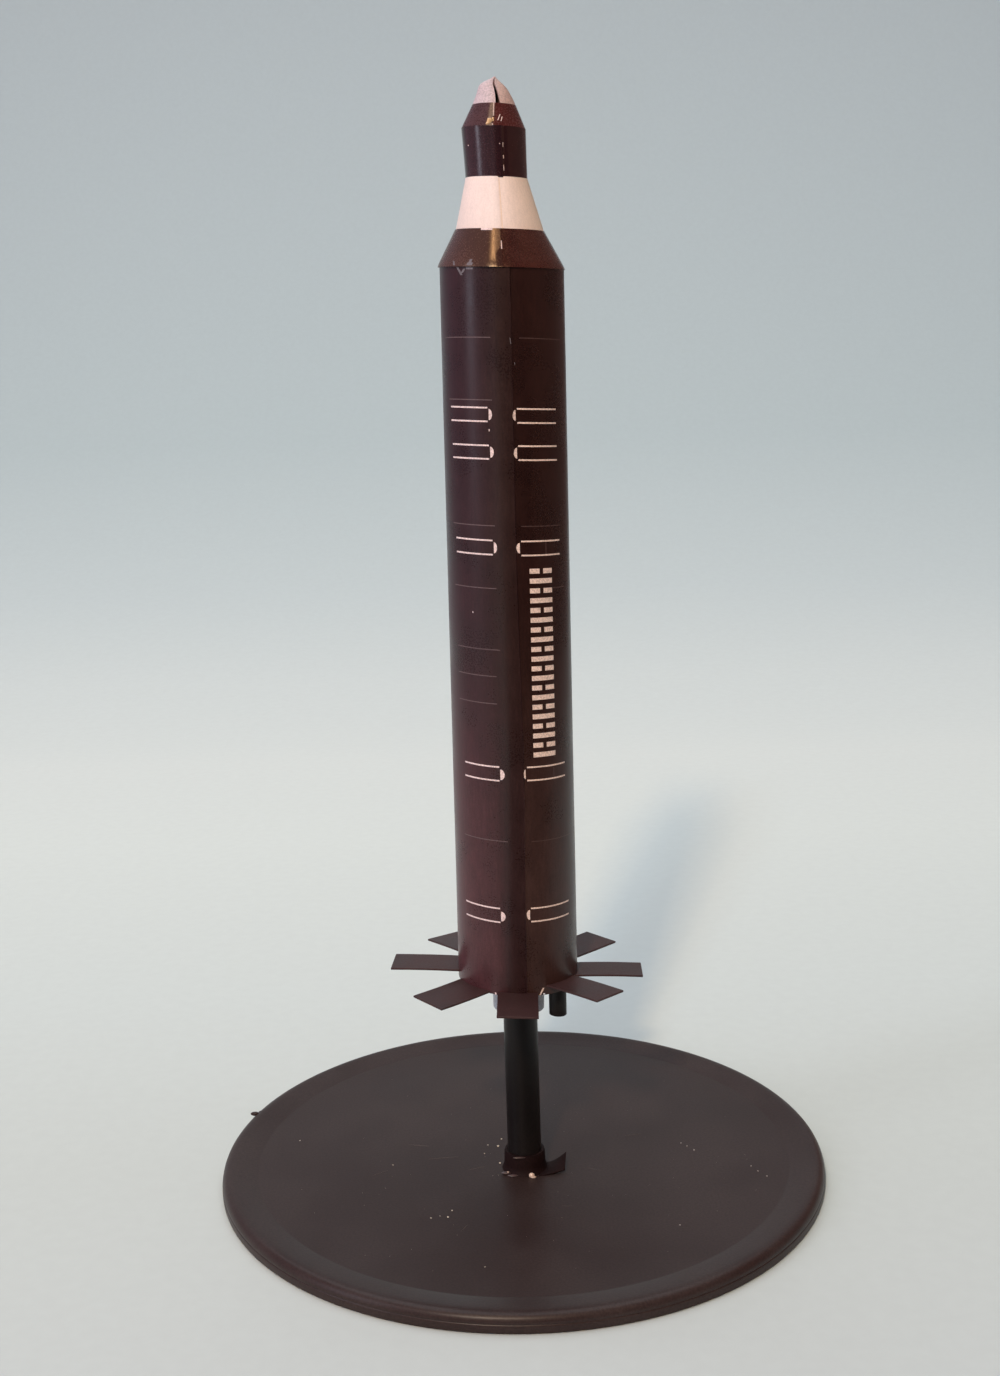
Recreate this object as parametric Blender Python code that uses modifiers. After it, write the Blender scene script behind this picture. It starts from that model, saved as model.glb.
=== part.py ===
"""A card model of a space rocket, standing on a post over a round display base.

Metres, +Z up. The origin is on the floor, under the middle of the base. The photographed side faces -Y.
The rocket is modelled about its own axis at X = Y = 0 and moved to its place on the base at the end.
"""

from math import cos, pi, radians, sin
from typing import NamedTuple

import bmesh
import bpy
from mathutils import Matrix

COLLECTION = "space_rocket_model"

# Driving dimensions
GAP = 0.0002
CARD = 0.0004

BASE_RADIUS = 0.0635
BASE_CREST_RADIUS = 0.0620
BASE_CREST_Z = 0.0035
BASE_WALL_Z = 0.00145
BASE_FOOT_CHAMFER = 0.00025
BASE_FLOOR_RADIUS = 0.0560
BASE_FLOOR_Z = 0.0027

# Where the rocket's axis and its post stand, measured from the middle of the base
ROCKET_X = -0.0002
ROCKET_Y = -0.0070

POST_RADIUS = 0.0035
POST_WALL = 0.0006
# The post leans to -X by this much per metre of height, and its top is this far from the rocket's axis
POST_LEAN = -0.0080
POST_TOP_X = 0.0002
COLLAR_RADIUS = 0.0042
COLLAR_HEIGHT = 0.0042
TAB_WIDTH = 0.0034
# Direction from +X towards +Y, length from the sleeve's wall, and lift of each tab
TABS = ((-18.0, 0.0048, 38.0), (90.0, 0.0024, 4.0), (180.0, 0.0018, 2.0), (270.0, 0.0018, 5.0))

TAIL_Z = 0.0451
BODY_TAIL_RADIUS = 0.01215
BODY_TOP_RADIUS = 0.01172
BODY_TOP_Z = 0.1852
BULKHEAD_RISE = 0.0008
BULKHEAD_THICKNESS = 0.0008

SHOULDER_RADIUS = 0.0120
SHOULDER_TOP_RADIUS = 0.00816
SHOULDER_TOP_Z = 0.1921
BAND_TOP_RADIUS = 0.00577
BAND_TOP_Z = 0.2014
UPPER_RADIUS = 0.00574
UPPER_TOP_Z = 0.2102
NOSE_TOP_RADIUS = 0.00383
NOSE_TOP_Z = 0.2143
TIP_Z = 0.2193
PLUG_DEPTH = 0.0025

NOZZLE_RADIUS = 0.0054
NOZZLE_WALL = 0.0005
NOZZLE_TAPER = 0.0002
NOZZLE_DROP = 0.0068
SIDE_PIPE_RADIUS = 0.00178
SIDE_PIPE_WALL = 0.0004
SIDE_PIPE_DROP = 0.0069
SIDE_PIPE_X = 0.0079
SIDE_PIPE_Y = -0.0036

# The tube was cut and rolled a little out of square, so every hoop on it falls by this much per metre to +X
HOOP_FALL = -0.0442
# The glued nose leans to -X and to -Y by these much per metre of height above the place it starts to lean
NOSE_LEAN_X = -0.0219
NOSE_LEAN_Y = -0.0406
NOSE_LEAN_Z = 0.1814

ROUND_STEPS = 64
SMALL_STEPS = 32
PIPE_STEPS = 24
BASE_STEPS = 96
NOSE_STEPS = 48
BASE_EDGE_POINTS = 6

CARD_BROWN = (0.035, 0.018, 0.018, 1.0)
CARD_WHITE = (0.78, 0.66, 0.62, 1.0)
PLASTIC_BROWN = (0.055, 0.045, 0.044, 1.0)
PLASTIC_BLACK = (0.010, 0.010, 0.011, 1.0)


# The tip's rows in radii of its foot: share of its height, depth, left edge, right edge
TIP_ROWS = (
    (0.0, 1.0, -1.0, 1.0),
    (0.29, 0.74, -0.84, 0.83),
    (0.57, 0.46, -0.76, 0.66),
    (0.72, 0.31, -0.70, 0.53),
    (0.80, 0.24, -0.60, 0.42),
    (0.88, 0.16, -0.36, 0.28),
    (1.0, 0.05, -0.06, 0.13),
)


class Flap(NamedTuple):
    """One tail flap: direction from +X towards +Y, size, height at the tube and upward bend."""

    direction: float
    reach: float
    width: float
    root_z: float
    bend: float


# Hand-cut, so no two are the same
FLAPS = (
    Flap(-1.6, 0.0253, 0.0074, 0.0467, 1.3),
    Flap(44.8, 0.0257, 0.0083, 0.0468, 1.6),
    Flap(87.0, 0.0253, 0.0082, 0.0468, 0.5),
    Flap(129.4, 0.0251, 0.0082, 0.0471, -3.3),
    Flap(176.0, 0.0256, 0.0083, 0.0471, -1.0),
    Flap(221.0, 0.0238, 0.0088, 0.0456, -3.0),
    Flap(269.0, 0.0252, 0.0080, 0.0458, 1.7),
    Flap(316.0, 0.0246, 0.0080, 0.0471, 2.3),
)


def clear_scene():
    """Removes whatever the open file holds."""
    for found in list(bpy.data.objects):
        bpy.data.objects.remove(found, do_unlink=True)


def make_collection(name):
    collection = bpy.data.collections.new(name)
    bpy.context.scene.collection.children.link(collection)
    return collection


def make_material(name, colour, roughness):
    material = bpy.data.materials.new(name)
    material.use_nodes = True
    shader = material.node_tree.nodes["Principled BSDF"]
    shader.inputs["Base Color"].default_value = colour
    shader.inputs["Roughness"].default_value = roughness
    shader.inputs["Metallic"].default_value = 0.0
    material.diffuse_color = colour
    return material


def add_object(name, mesh, collection, material=None):
    made = bpy.data.objects.new(name, mesh)
    collection.objects.link(made)
    if material is not None:
        mesh.materials.append(material)
    return made


def add_modifier(target, name, kind, **settings):
    modifier = target.modifiers.new(name, kind)
    for key, value in settings.items():
        setattr(modifier, key, value)
    return modifier


def hide(target):
    target.hide_render = True
    target.display_type = "WIRE"


def applied(target):
    """Replaces the object's mesh with its evaluated mesh, and drops its modifiers."""
    bpy.context.view_layer.update()
    evaluated = target.evaluated_get(bpy.context.evaluated_depsgraph_get())
    mesh = bpy.data.meshes.new_from_object(evaluated)
    mesh.name = target.name
    target.modifiers.clear()
    target.data = mesh
    return target


def smooth(target):
    target.data.shade_smooth()
    target.data.set_sharp_from_angle(angle=radians(30))


def turned(name, profile, collection, material, steps=ROUND_STEPS):
    """A turned solid. The profile is (radius, height) points, down the outside from the top."""
    mesh = bpy.data.meshes.new(name)
    shape = bmesh.new()
    verts = [shape.verts.new((radius, 0.0, height)) for radius, height in profile]
    for upper, lower in zip(verts, verts[1:]):
        shape.edges.new((upper, lower))
    if profile[0][0] > 0.0 and profile[-1][0] > 0.0:
        shape.edges.new((verts[-1], verts[0]))
    shape.to_mesh(mesh)
    shape.free()
    made = add_object(name, mesh, collection, material)
    add_modifier(
        made,
        "Turn",
        "SCREW",
        steps=steps,
        render_steps=steps,
        use_merge_vertices=True,
        merge_threshold=0.00001,
    )
    applied(made)
    smooth(made)
    return made


def cuboid(name, size, place, collection, material=None):
    """A box that starts at the place's origin and runs along its +X, centred on its X axis."""
    mesh = bpy.data.meshes.new(name)
    shape = bmesh.new()
    bmesh.ops.create_cube(shape, size=1.0)
    bmesh.ops.scale(shape, vec=size, verts=shape.verts)
    bmesh.ops.translate(shape, vec=(size[0] / 2, 0.0, 0.0), verts=shape.verts)
    bmesh.ops.transform(shape, matrix=place, verts=shape.verts)
    shape.to_mesh(mesh)
    shape.free()
    return add_object(name, mesh, collection, material)


def tube_profile(outer_top, outer_bottom, wall, top, bottom):
    """The closed section of a straight or tapered tube."""
    return (
        (outer_top, top),
        (outer_bottom, bottom),
        (outer_bottom - wall, bottom),
        (outer_top - wall, top),
    )


def placed(target):
    """Moves what was modelled about the rocket's axis to its place on the base."""
    target.data.transform(Matrix.Translation((ROCKET_X, ROCKET_Y, 0.0)))
    target.data.update()
    return target


def skewed(target, leans=False):
    """Lets the hoops fall towards +X, leans what belongs to the nose, and moves it to its place."""
    fall = Matrix.Identity(4)
    fall[2][0] = HOOP_FALL
    lean = Matrix.Identity(4)
    if leans:
        lean[0][2] = NOSE_LEAN_X
        lean[0][3] = -NOSE_LEAN_X * NOSE_LEAN_Z
        lean[1][2] = NOSE_LEAN_Y
        lean[1][3] = -NOSE_LEAN_Y * NOSE_LEAN_Z
        lean[2][1] = -NOSE_LEAN_Y
    target.data.transform(fall @ lean)
    return placed(target)


def body_radius(height):
    """The outer radius of the body tube at a height."""
    share = (height - TAIL_Z) / (BODY_TOP_Z - TAIL_Z)
    return BODY_TAIL_RADIUS + share * (BODY_TOP_RADIUS - BODY_TAIL_RADIUS)


def make_base(collection, material):
    """The round base: a lid-like disc whose rim rises gently round a flat floor and rounds off outside."""
    profile = [(0.0, BASE_FLOOR_Z), (BASE_FLOOR_RADIUS, BASE_FLOOR_Z)]
    for step in range(BASE_EDGE_POINTS + 1):
        turn = step / BASE_EDGE_POINTS * pi / 2
        radius = BASE_CREST_RADIUS + (BASE_RADIUS - BASE_CREST_RADIUS) * sin(turn)
        profile.append((radius, BASE_WALL_Z + (BASE_CREST_Z - BASE_WALL_Z) * cos(turn)))
    profile.append((BASE_RADIUS, BASE_FOOT_CHAMFER))
    profile.append((BASE_RADIUS - BASE_FOOT_CHAMFER, 0.0))
    profile.append((0.0, 0.0))
    return turned("base_disc", profile, collection, material, steps=BASE_STEPS)


def leaned(target):
    """Leans the post and its foot, and moves them to their place."""
    lean = Matrix.Identity(4)
    lean[0][2] = POST_LEAN
    lean[0][3] = POST_TOP_X - POST_LEAN * TAIL_Z
    target.data.transform(lean)
    return placed(target)


def make_post(collection, material):
    """The black tube that holds the rocket up, from the base's floor to the sloping bulkhead."""
    top = TAIL_Z + BULKHEAD_RISE - GAP
    bottom = BASE_FLOOR_Z + GAP
    profile = tube_profile(POST_RADIUS, POST_RADIUS, POST_WALL, top, bottom)
    post = turned("post_tube", profile, collection, material, steps=SMALL_STEPS)
    for vertex in post.data.vertices:
        if vertex.co.z > TAIL_Z / 2:
            vertex.co.z += HOOP_FALL * vertex.co.x
    return leaned(post)


def make_foot(collection, cutters, material):
    """The short sleeve round the post's foot, with its end slit into tabs that lie on the base."""
    bottom = BASE_FLOOR_Z + GAP
    wall = COLLAR_RADIUS - POST_RADIUS - GAP
    profile = tube_profile(COLLAR_RADIUS, COLLAR_RADIUS, wall, bottom + COLLAR_HEIGHT, bottom)
    sleeve = turned("foot_collar", profile, collection, material, steps=SMALL_STEPS)
    for index, (direction, length, lift) in enumerate(TABS):
        place = (
            Matrix.Rotation(radians(direction), 4, "Z")
            @ Matrix.Translation((COLLAR_RADIUS - wall / 2, 0.0, bottom + CARD / 2))
            @ Matrix.Rotation(-radians(lift), 4, "Y")
        )
        tab = cuboid(f"foot_tab_{index}", (length, TAB_WIDTH, CARD), place, cutters)
        hide(tab)
        add_modifier(sleeve, f"Tab {index}", "BOOLEAN", operation="UNION", object=tab)
    return leaned(applied(sleeve))


def make_body(collection, material):
    """The rolled card tube. Its upper end is cut to the slope that the leaning nose sits at."""
    profile = tube_profile(BODY_TOP_RADIUS, BODY_TAIL_RADIUS, CARD, BODY_TOP_Z, TAIL_Z)
    body = turned("body_tube", profile, collection, material)
    for vertex in body.data.vertices:
        if vertex.co.z > BODY_TOP_Z / 2:
            vertex.co.z -= NOSE_LEAN_Y * vertex.co.y
    return skewed(body)


def make_bulkhead(collection, material):
    """The disc that closes the tail inside the tube."""
    bottom = TAIL_Z + BULKHEAD_RISE
    radius = body_radius(bottom) - CARD - GAP
    profile = (
        (0.0, bottom + BULKHEAD_THICKNESS),
        (radius, bottom + BULKHEAD_THICKNESS),
        (radius, bottom),
        (0.0, bottom),
    )
    return skewed(turned("tail_bulkhead", profile, collection, material))


def make_nozzle(collection, material):
    """The white ring that hangs round the post below the bulkhead."""
    top = TAIL_Z + BULKHEAD_RISE - GAP
    bottom = TAIL_Z - NOZZLE_DROP
    profile = tube_profile(NOZZLE_RADIUS, NOZZLE_RADIUS - NOZZLE_TAPER, NOZZLE_WALL, top, bottom)
    return skewed(turned("nozzle_ring", profile, collection, material, steps=SMALL_STEPS))


def make_side_pipe(collection, material):
    """The small black pipe beside the nozzle."""
    top = TAIL_Z + BULKHEAD_RISE - GAP
    bottom = TAIL_Z - SIDE_PIPE_DROP
    profile = tube_profile(SIDE_PIPE_RADIUS, SIDE_PIPE_RADIUS, SIDE_PIPE_WALL, top, bottom)
    pipe = turned("side_pipe", profile, collection, material, steps=PIPE_STEPS)
    pipe.data.transform(Matrix.Translation((SIDE_PIPE_X, SIDE_PIPE_Y, 0.0)))
    return skewed(pipe)


def make_shoulder(collection, material):
    """The dark cone that caps the tube, with a plug that fits inside it."""
    bottom = BODY_TOP_Z + GAP
    plug = BODY_TOP_RADIUS - CARD - 2 * GAP
    profile = (
        (0.0, SHOULDER_TOP_Z),
        (SHOULDER_TOP_RADIUS, SHOULDER_TOP_Z),
        (SHOULDER_RADIUS, bottom),
        (plug, bottom),
        (plug, bottom - PLUG_DEPTH),
        (0.0, bottom - PLUG_DEPTH),
    )
    return turned("shoulder_cone", profile, collection, material)


def frustum(name, radii, heights, collection, material):
    """A solid ring of the nose. Radii and heights are (lower, upper)."""
    bottom = heights[0] + GAP
    profile = ((0.0, heights[1]), (radii[1], heights[1]), (radii[0], bottom), (0.0, bottom))
    return turned(name, profile, collection, material, steps=NOSE_STEPS)


def tip_row(share):
    """The pinched tip's depth, left edge and right edge at a share of its height."""
    for lower, upper in zip(TIP_ROWS, TIP_ROWS[1:]):
        if share <= upper[0]:
            along = (share - lower[0]) / (upper[0] - lower[0])
            return [a + along * (b - a) for a, b in zip(lower[1:], upper[1:])]
    return TIP_ROWS[-1][1:]


def make_tip(collection, material):
    """The white cone on top, pinched flat towards the top and out of line with the cone below it."""
    bottom = NOSE_TOP_Z + GAP
    rise = TIP_Z - bottom
    profile = [(0.0, TIP_Z)]
    for share, depth, _, _ in reversed(TIP_ROWS):
        profile.append((NOSE_TOP_RADIUS * depth, bottom + share * rise))
    profile.append((0.0, bottom))
    tip = turned("nose_tip", profile, collection, material, steps=NOSE_STEPS)
    for vertex in tip.data.vertices:
        depth, left, right = tip_row((vertex.co.z - bottom) / rise)
        across = vertex.co.x / depth
        vertex.co.x = NOSE_TOP_RADIUS * (left + right) / 2 + across * (right - left) / 2
    return tip


def make_nose(collection, white, brown):
    """The stack of cones and the short tube on top of the body, which leans a little."""
    pieces = (
        make_shoulder(collection, brown),
        frustum(
            "white_band",
            (SHOULDER_TOP_RADIUS, BAND_TOP_RADIUS),
            (SHOULDER_TOP_Z, BAND_TOP_Z),
            collection,
            white,
        ),
        frustum("upper_tube", (UPPER_RADIUS, UPPER_RADIUS), (BAND_TOP_Z, UPPER_TOP_Z), collection, brown),
        frustum("nose_cone", (UPPER_RADIUS, NOSE_TOP_RADIUS), (UPPER_TOP_Z, NOSE_TOP_Z), collection, brown),
        make_tip(collection, white),
    )
    for piece in pieces:
        skewed(piece, leans=True)


def make_flaps(collection, cutters, material):
    """The eight flat card flaps that spread from the tail."""
    root = BODY_TAIL_RADIUS + GAP
    cutter = turned(
        "flap_cutter",
        ((0.0, 2 * TAIL_Z), (root, 2 * TAIL_Z), (root, 0.0), (0.0, 0.0)),
        cutters,
        None,
    )
    hide(cutter)
    for index, flap in enumerate(FLAPS):
        place = (
            Matrix.Rotation(radians(flap.direction), 4, "Z")
            @ Matrix.Translation((BODY_TAIL_RADIUS, 0.0, flap.root_z))
            @ Matrix.Rotation(-radians(flap.bend), 4, "Y")
            @ Matrix.Translation((-flap.width / 3, 0.0, 0.0))
        )
        size = (flap.reach - BODY_TAIL_RADIUS + flap.width / 3, flap.width, CARD)
        made = cuboid(f"tail_flap_{index + 1}", size, place, collection, material)
        add_modifier(made, "Root", "BOOLEAN", operation="DIFFERENCE", object=cutter)
        skewed(applied(made))


def main():
    clear_scene()
    parts = make_collection(COLLECTION)
    cutters = make_collection("cutters")
    brown = make_material("printed card", CARD_BROWN, 0.35)
    white = make_material("white card", CARD_WHITE, 0.55)
    disc = make_material("base plastic", PLASTIC_BROWN, 0.35)
    black = make_material("black plastic", PLASTIC_BLACK, 0.4)
    make_base(parts, disc)
    make_post(parts, black)
    make_foot(parts, cutters, black)
    make_body(parts, brown)
    make_bulkhead(parts, brown)
    make_nozzle(parts, white)
    make_side_pipe(parts, black)
    make_nose(parts, white, brown)
    make_flaps(parts, cutters, brown)


main()
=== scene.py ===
"""Looks for the space rocket: rolled and cut card on a black post, glued to a round plastic base."""

import logging
import random
from collections.abc import Callable, Iterable, Sequence
from dataclasses import dataclass
from enum import Enum
from math import atan2, cos, degrees, pi, radians, sin, sqrt

import bmesh
import bpy
from mathutils import Matrix, Vector


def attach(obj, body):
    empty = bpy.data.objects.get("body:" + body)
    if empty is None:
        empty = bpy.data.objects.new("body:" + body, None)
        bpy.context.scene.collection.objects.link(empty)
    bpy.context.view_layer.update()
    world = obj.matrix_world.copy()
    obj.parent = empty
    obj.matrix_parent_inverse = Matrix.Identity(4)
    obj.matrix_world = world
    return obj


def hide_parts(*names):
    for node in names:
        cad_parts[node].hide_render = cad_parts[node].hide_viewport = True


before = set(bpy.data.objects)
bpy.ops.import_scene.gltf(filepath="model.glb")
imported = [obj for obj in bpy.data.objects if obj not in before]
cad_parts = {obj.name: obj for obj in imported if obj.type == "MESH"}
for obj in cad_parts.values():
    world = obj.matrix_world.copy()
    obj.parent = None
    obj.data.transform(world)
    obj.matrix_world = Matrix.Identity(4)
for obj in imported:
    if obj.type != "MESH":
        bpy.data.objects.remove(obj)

log = logging.getLogger("space_rocket")

MM = 0.001
BODY = "root"
SEED = 7
ORIGIN = (0.0, 0.0, 0.0)
UPWARDS = (0.0, 0.0, 1.0)
FULL_TURN = 360.0
# Points closer than this, in metres, are one
MERGE = 1e-7
# The rolled body's lower and upper end
TAIL_Z = 0.0451
TAIL_RADIUS = 0.01215
BODY_TOP_Z = 0.1852
BODY_TOP_RADIUS = 0.01172
# Nearly all of Blender's noise lies between these two values
NOISE = (0.3, 0.7)

Colour = tuple[float, float, float, float]
Pair = tuple[float, float]
Triple = tuple[float, float, float]
Stops = tuple[tuple[float, Colour], ...]


class Slot(Enum):
    """The record's material slots."""

    BASE = "base_plastic"
    BLACK = "black_plastic"
    PRINTED = "printed_card"
    BROWN = "brown_card"
    WHITE = "white_card"


def of_kind(items: Iterable[object], kind: type) -> list:
    """The items of one kind."""
    return [item for item in items if isinstance(item, kind)]


def soft_step(low: float, high: float, value: float) -> float:
    """A smooth rise from 0 at low to 1 at high.

    Args:
        low: Where the rise starts.
        high: Where the rise ends.
        value: The place to read.

    Returns:
        The share risen, from 0 to 1.
    """
    share = min(max((value - low) / (high - low), 0.0), 1.0)
    return share * share * (3.0 - 2.0 * share)


def along(rows: Sequence[Pair], place: float) -> float:
    """Reads a table of (place, value) rows with straight lines between them.

    Args:
        rows: The rows, in rising order of place.
        place: The place to read.

    Returns:
        The value there, held constant past either end.
    """
    if place <= rows[0][0]:
        return rows[0][1]
    for (low, start), (high, end) in zip(rows, rows[1:]):
        if place <= high:
            return start + (end - start) * (place - low) / (high - low)
    return rows[-1][1]


@dataclass(frozen=True)
class Stance:
    """Where the rocket stands, how its hoops fall to +X and how its glued nose leans."""

    axis_x: float = -0.0002
    axis_y: float = -0.0070
    fall: float = -0.0442
    lean_x: float = -0.0219
    lean_y: float = -0.0406
    lean_from: float = 0.1814
    post_lean: float = -0.0080
    post_top_x: float = 0.0002
    tail_z: float = TAIL_Z

    def place(self) -> Matrix:
        """The move from the rocket's axis to its place on the base."""
        return Matrix.Translation((self.axis_x, self.axis_y, 0.0))

    def body(self) -> Matrix:
        """The fall and the move of what belongs to the tube.

        Returns:
            The transform from the rocket's own axis.
        """
        fall = Matrix.Identity(4)
        fall[2][0] = self.fall
        return self.place() @ fall

    def nose(self) -> Matrix:
        """The lean, fall and move of what belongs to the nose.

        Returns:
            The transform from the rocket's own axis.
        """
        lean = Matrix.Identity(4)
        lean[0][2] = self.lean_x
        lean[0][3] = -self.lean_x * self.lean_from
        lean[1][2] = self.lean_y
        lean[1][3] = -self.lean_y * self.lean_from
        lean[2][1] = -self.lean_y
        return self.body() @ lean

    def post(self) -> Matrix:
        """The lean and move of the post and its foot.

        Returns:
            The transform from the post's own axis.
        """
        lean = Matrix.Identity(4)
        lean[0][2] = self.post_lean
        lean[0][3] = self.post_top_x - self.post_lean * self.tail_z
        return self.place() @ lean


STANCE = Stance()


class Graph:
    """The node tree of one finish, with its surface shader in place."""

    def __init__(self, name: str) -> None:
        """Starts a material whose tree holds only a shader and its output.

        Args:
            name: The material's name.
        """
        self.material = bpy.data.materials.new(name)
        self.material.use_nodes = True
        self.tree = self.material.node_tree
        self.tree.nodes.clear()
        output = self.tree.nodes.new("ShaderNodeOutputMaterial")
        self.shader = self.tree.nodes.new("ShaderNodeBsdfPrincipled")
        self.tree.links.new(self.shader.outputs["BSDF"], output.inputs["Surface"])
        self.place = self.tree.nodes.new("ShaderNodeTexCoord").outputs["Object"]

    def node(
        self,
        kind: str,
        settings: dict[str, object] | None = None,
        inputs: dict[int | str, object] | None = None,
    ) -> bpy.types.Node:
        """Adds a node, sets its options, and links or sets its inputs.

        Args:
            kind: Blender's name for the kind of node.
            settings: Options of the node itself.
            inputs: Sockets to link from, or values, by the input's name or number.

        Returns:
            The new node.
        """
        made = self.tree.nodes.new(kind)
        for key, value in (settings or {}).items():
            setattr(made, key, value)
        for key, value in (inputs or {}).items():
            if isinstance(value, bpy.types.NodeSocket):
                self.tree.links.new(value, made.inputs[key])
            else:
                made.inputs[key].default_value = value
        return made

    def calc(self, operation: str, first: object, second: object = 0.0) -> bpy.types.NodeSocket:
        """The result of one sum.

        Args:
            operation: Blender's name for the sum.
            first: A socket or a number.
            second: A socket or a number.

        Returns:
            The result's socket.
        """
        made = self.node("ShaderNodeMath", {"operation": operation}, {0: first, 1: second})
        return made.outputs[0]

    def grain(
        self,
        scale: float,
        stretch: Triple = (1.0, 1.0, 1.0),
        detail: float = 3.0,
        roughness: float = 0.55,
    ) -> bpy.types.NodeSocket:
        """Noise in the object's own coordinates.

        Args:
            scale: Features per metre.
            stretch: Extra scale along each axis.
            detail: How many finer layers are added.
            roughness: How strong the finer layers are.

        Returns:
            The noise's value, from 0 to 1.
        """
        mapped = self.node("ShaderNodeMapping", None, {"Vector": self.place, "Scale": stretch})
        made = self.node(
            "ShaderNodeTexNoise",
            None,
            {
                "Vector": mapped.outputs["Vector"],
                "Scale": scale,
                "Detail": detail,
                "Roughness": roughness,
            },
        )
        return made.outputs["Fac"]

    def span(
        self, value: object, low: float, high: float, start: float = 0.0, end: float = 1.0
    ) -> bpy.types.NodeSocket:
        """A smooth change from start to end as a value goes from low to high.

        Args:
            value: The socket to read.
            low: Where the change starts.
            high: Where the change ends.
            start: The result below low.
            end: The result above high.

        Returns:
            The result's socket.
        """
        made = self.node(
            "ShaderNodeMapRange",
            {"interpolation_type": "SMOOTHSTEP"},
            {0: value, 1: low, 2: high, 3: start, 4: end},
        )
        return made.outputs[0]

    def blend(
        self, share: object, first: object, second: object, mode: str = "MIX"
    ) -> bpy.types.NodeSocket:
        """Two colours mixed.

        Args:
            share: How much of the second, as a socket or a number.
            first: A colour or its socket.
            second: A colour or its socket.
            mode: Blender's name for the way of mixing.

        Returns:
            The mixed colour's socket.
        """
        made = self.node(
            "ShaderNodeMix",
            {"data_type": "RGBA", "blend_type": mode},
            {0: share, 6: first, 7: second},
        )
        return made.outputs[2]

    def product(self, first: object, second: object) -> bpy.types.NodeSocket:
        """Two numbers multiplied."""
        return self.calc("MULTIPLY", first, second)

    def vary(self, noise: object, share: float, reach: Pair = NOISE) -> bpy.types.NodeSocket:
        """A factor that noise moves as far below 1 as above it."""
        return self.span(noise, *reach, 1.0 - share, 1.0 + share)

    def uneven(
        self, noise: object, middle: float, spread: Pair, reach: Pair = NOISE
    ) -> bpy.types.NodeSocket:
        """A number that noise moves from one step off a middle value to another."""
        return self.span(noise, *reach, middle + spread[0], middle + spread[1])

    def scaled(self, colour: object, level: object) -> bpy.types.NodeSocket:
        """A colour made lighter or darker.

        Args:
            colour: A colour of three numbers, or a socket.
            level: The factor's socket.

        Returns:
            The new colour's socket.
        """
        made = self.node("ShaderNodeVectorMath", {"operation": "SCALE"}, {0: colour, 3: level})
        return made.outputs[0]

    def read(self, name: str) -> bpy.types.NodeSocket:
        """The value of one of the mesh's own attributes."""
        return self.node("ShaderNodeAttribute", {"attribute_name": name}).outputs["Fac"]

    def axis(self, name: str) -> bpy.types.NodeSocket:
        """One of the object's own coordinates."""
        return self.node("ShaderNodeSeparateXYZ", None, {0: self.place}).outputs[name]

    def ramp(self, value: object, stops: Sequence[tuple[float, Colour]]) -> bpy.types.NodeSocket:
        """A colour that follows a value.

        Args:
            value: The socket to read, from 0 to 1.
            stops: (place, colour) rows in rising order.

        Returns:
            The colour's socket.
        """
        made = self.node("ShaderNodeValToRGB", None, {0: value})
        elements = made.color_ramp.elements
        elements[0].position, elements[0].color = stops[0]
        elements[1].position, elements[1].color = stops[-1]
        for position, colour in stops[1:-1]:
            elements.new(position).color = colour
        return made.outputs["Color"]

    def bump(self, height: object, strength: float, depth: float) -> None:
        """Gives the surface relief.

        Args:
            height: The socket of the relief's height.
            strength: How much of it shows.
            depth: What a height of 1 stands for, in metres.
        """
        made = self.node(
            "ShaderNodeBump", None, {"Strength": strength, "Distance": depth, "Height": height}
        )
        self.tree.links.new(made.outputs["Normal"], self.shader.inputs["Normal"])

    def wear(self, colour: object, roughness: object) -> None:
        """Links the shader's colour and roughness."""
        self.tree.links.new(colour, self.shader.inputs["Base Color"])
        self.tree.links.new(roughness, self.shader.inputs["Roughness"])


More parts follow.
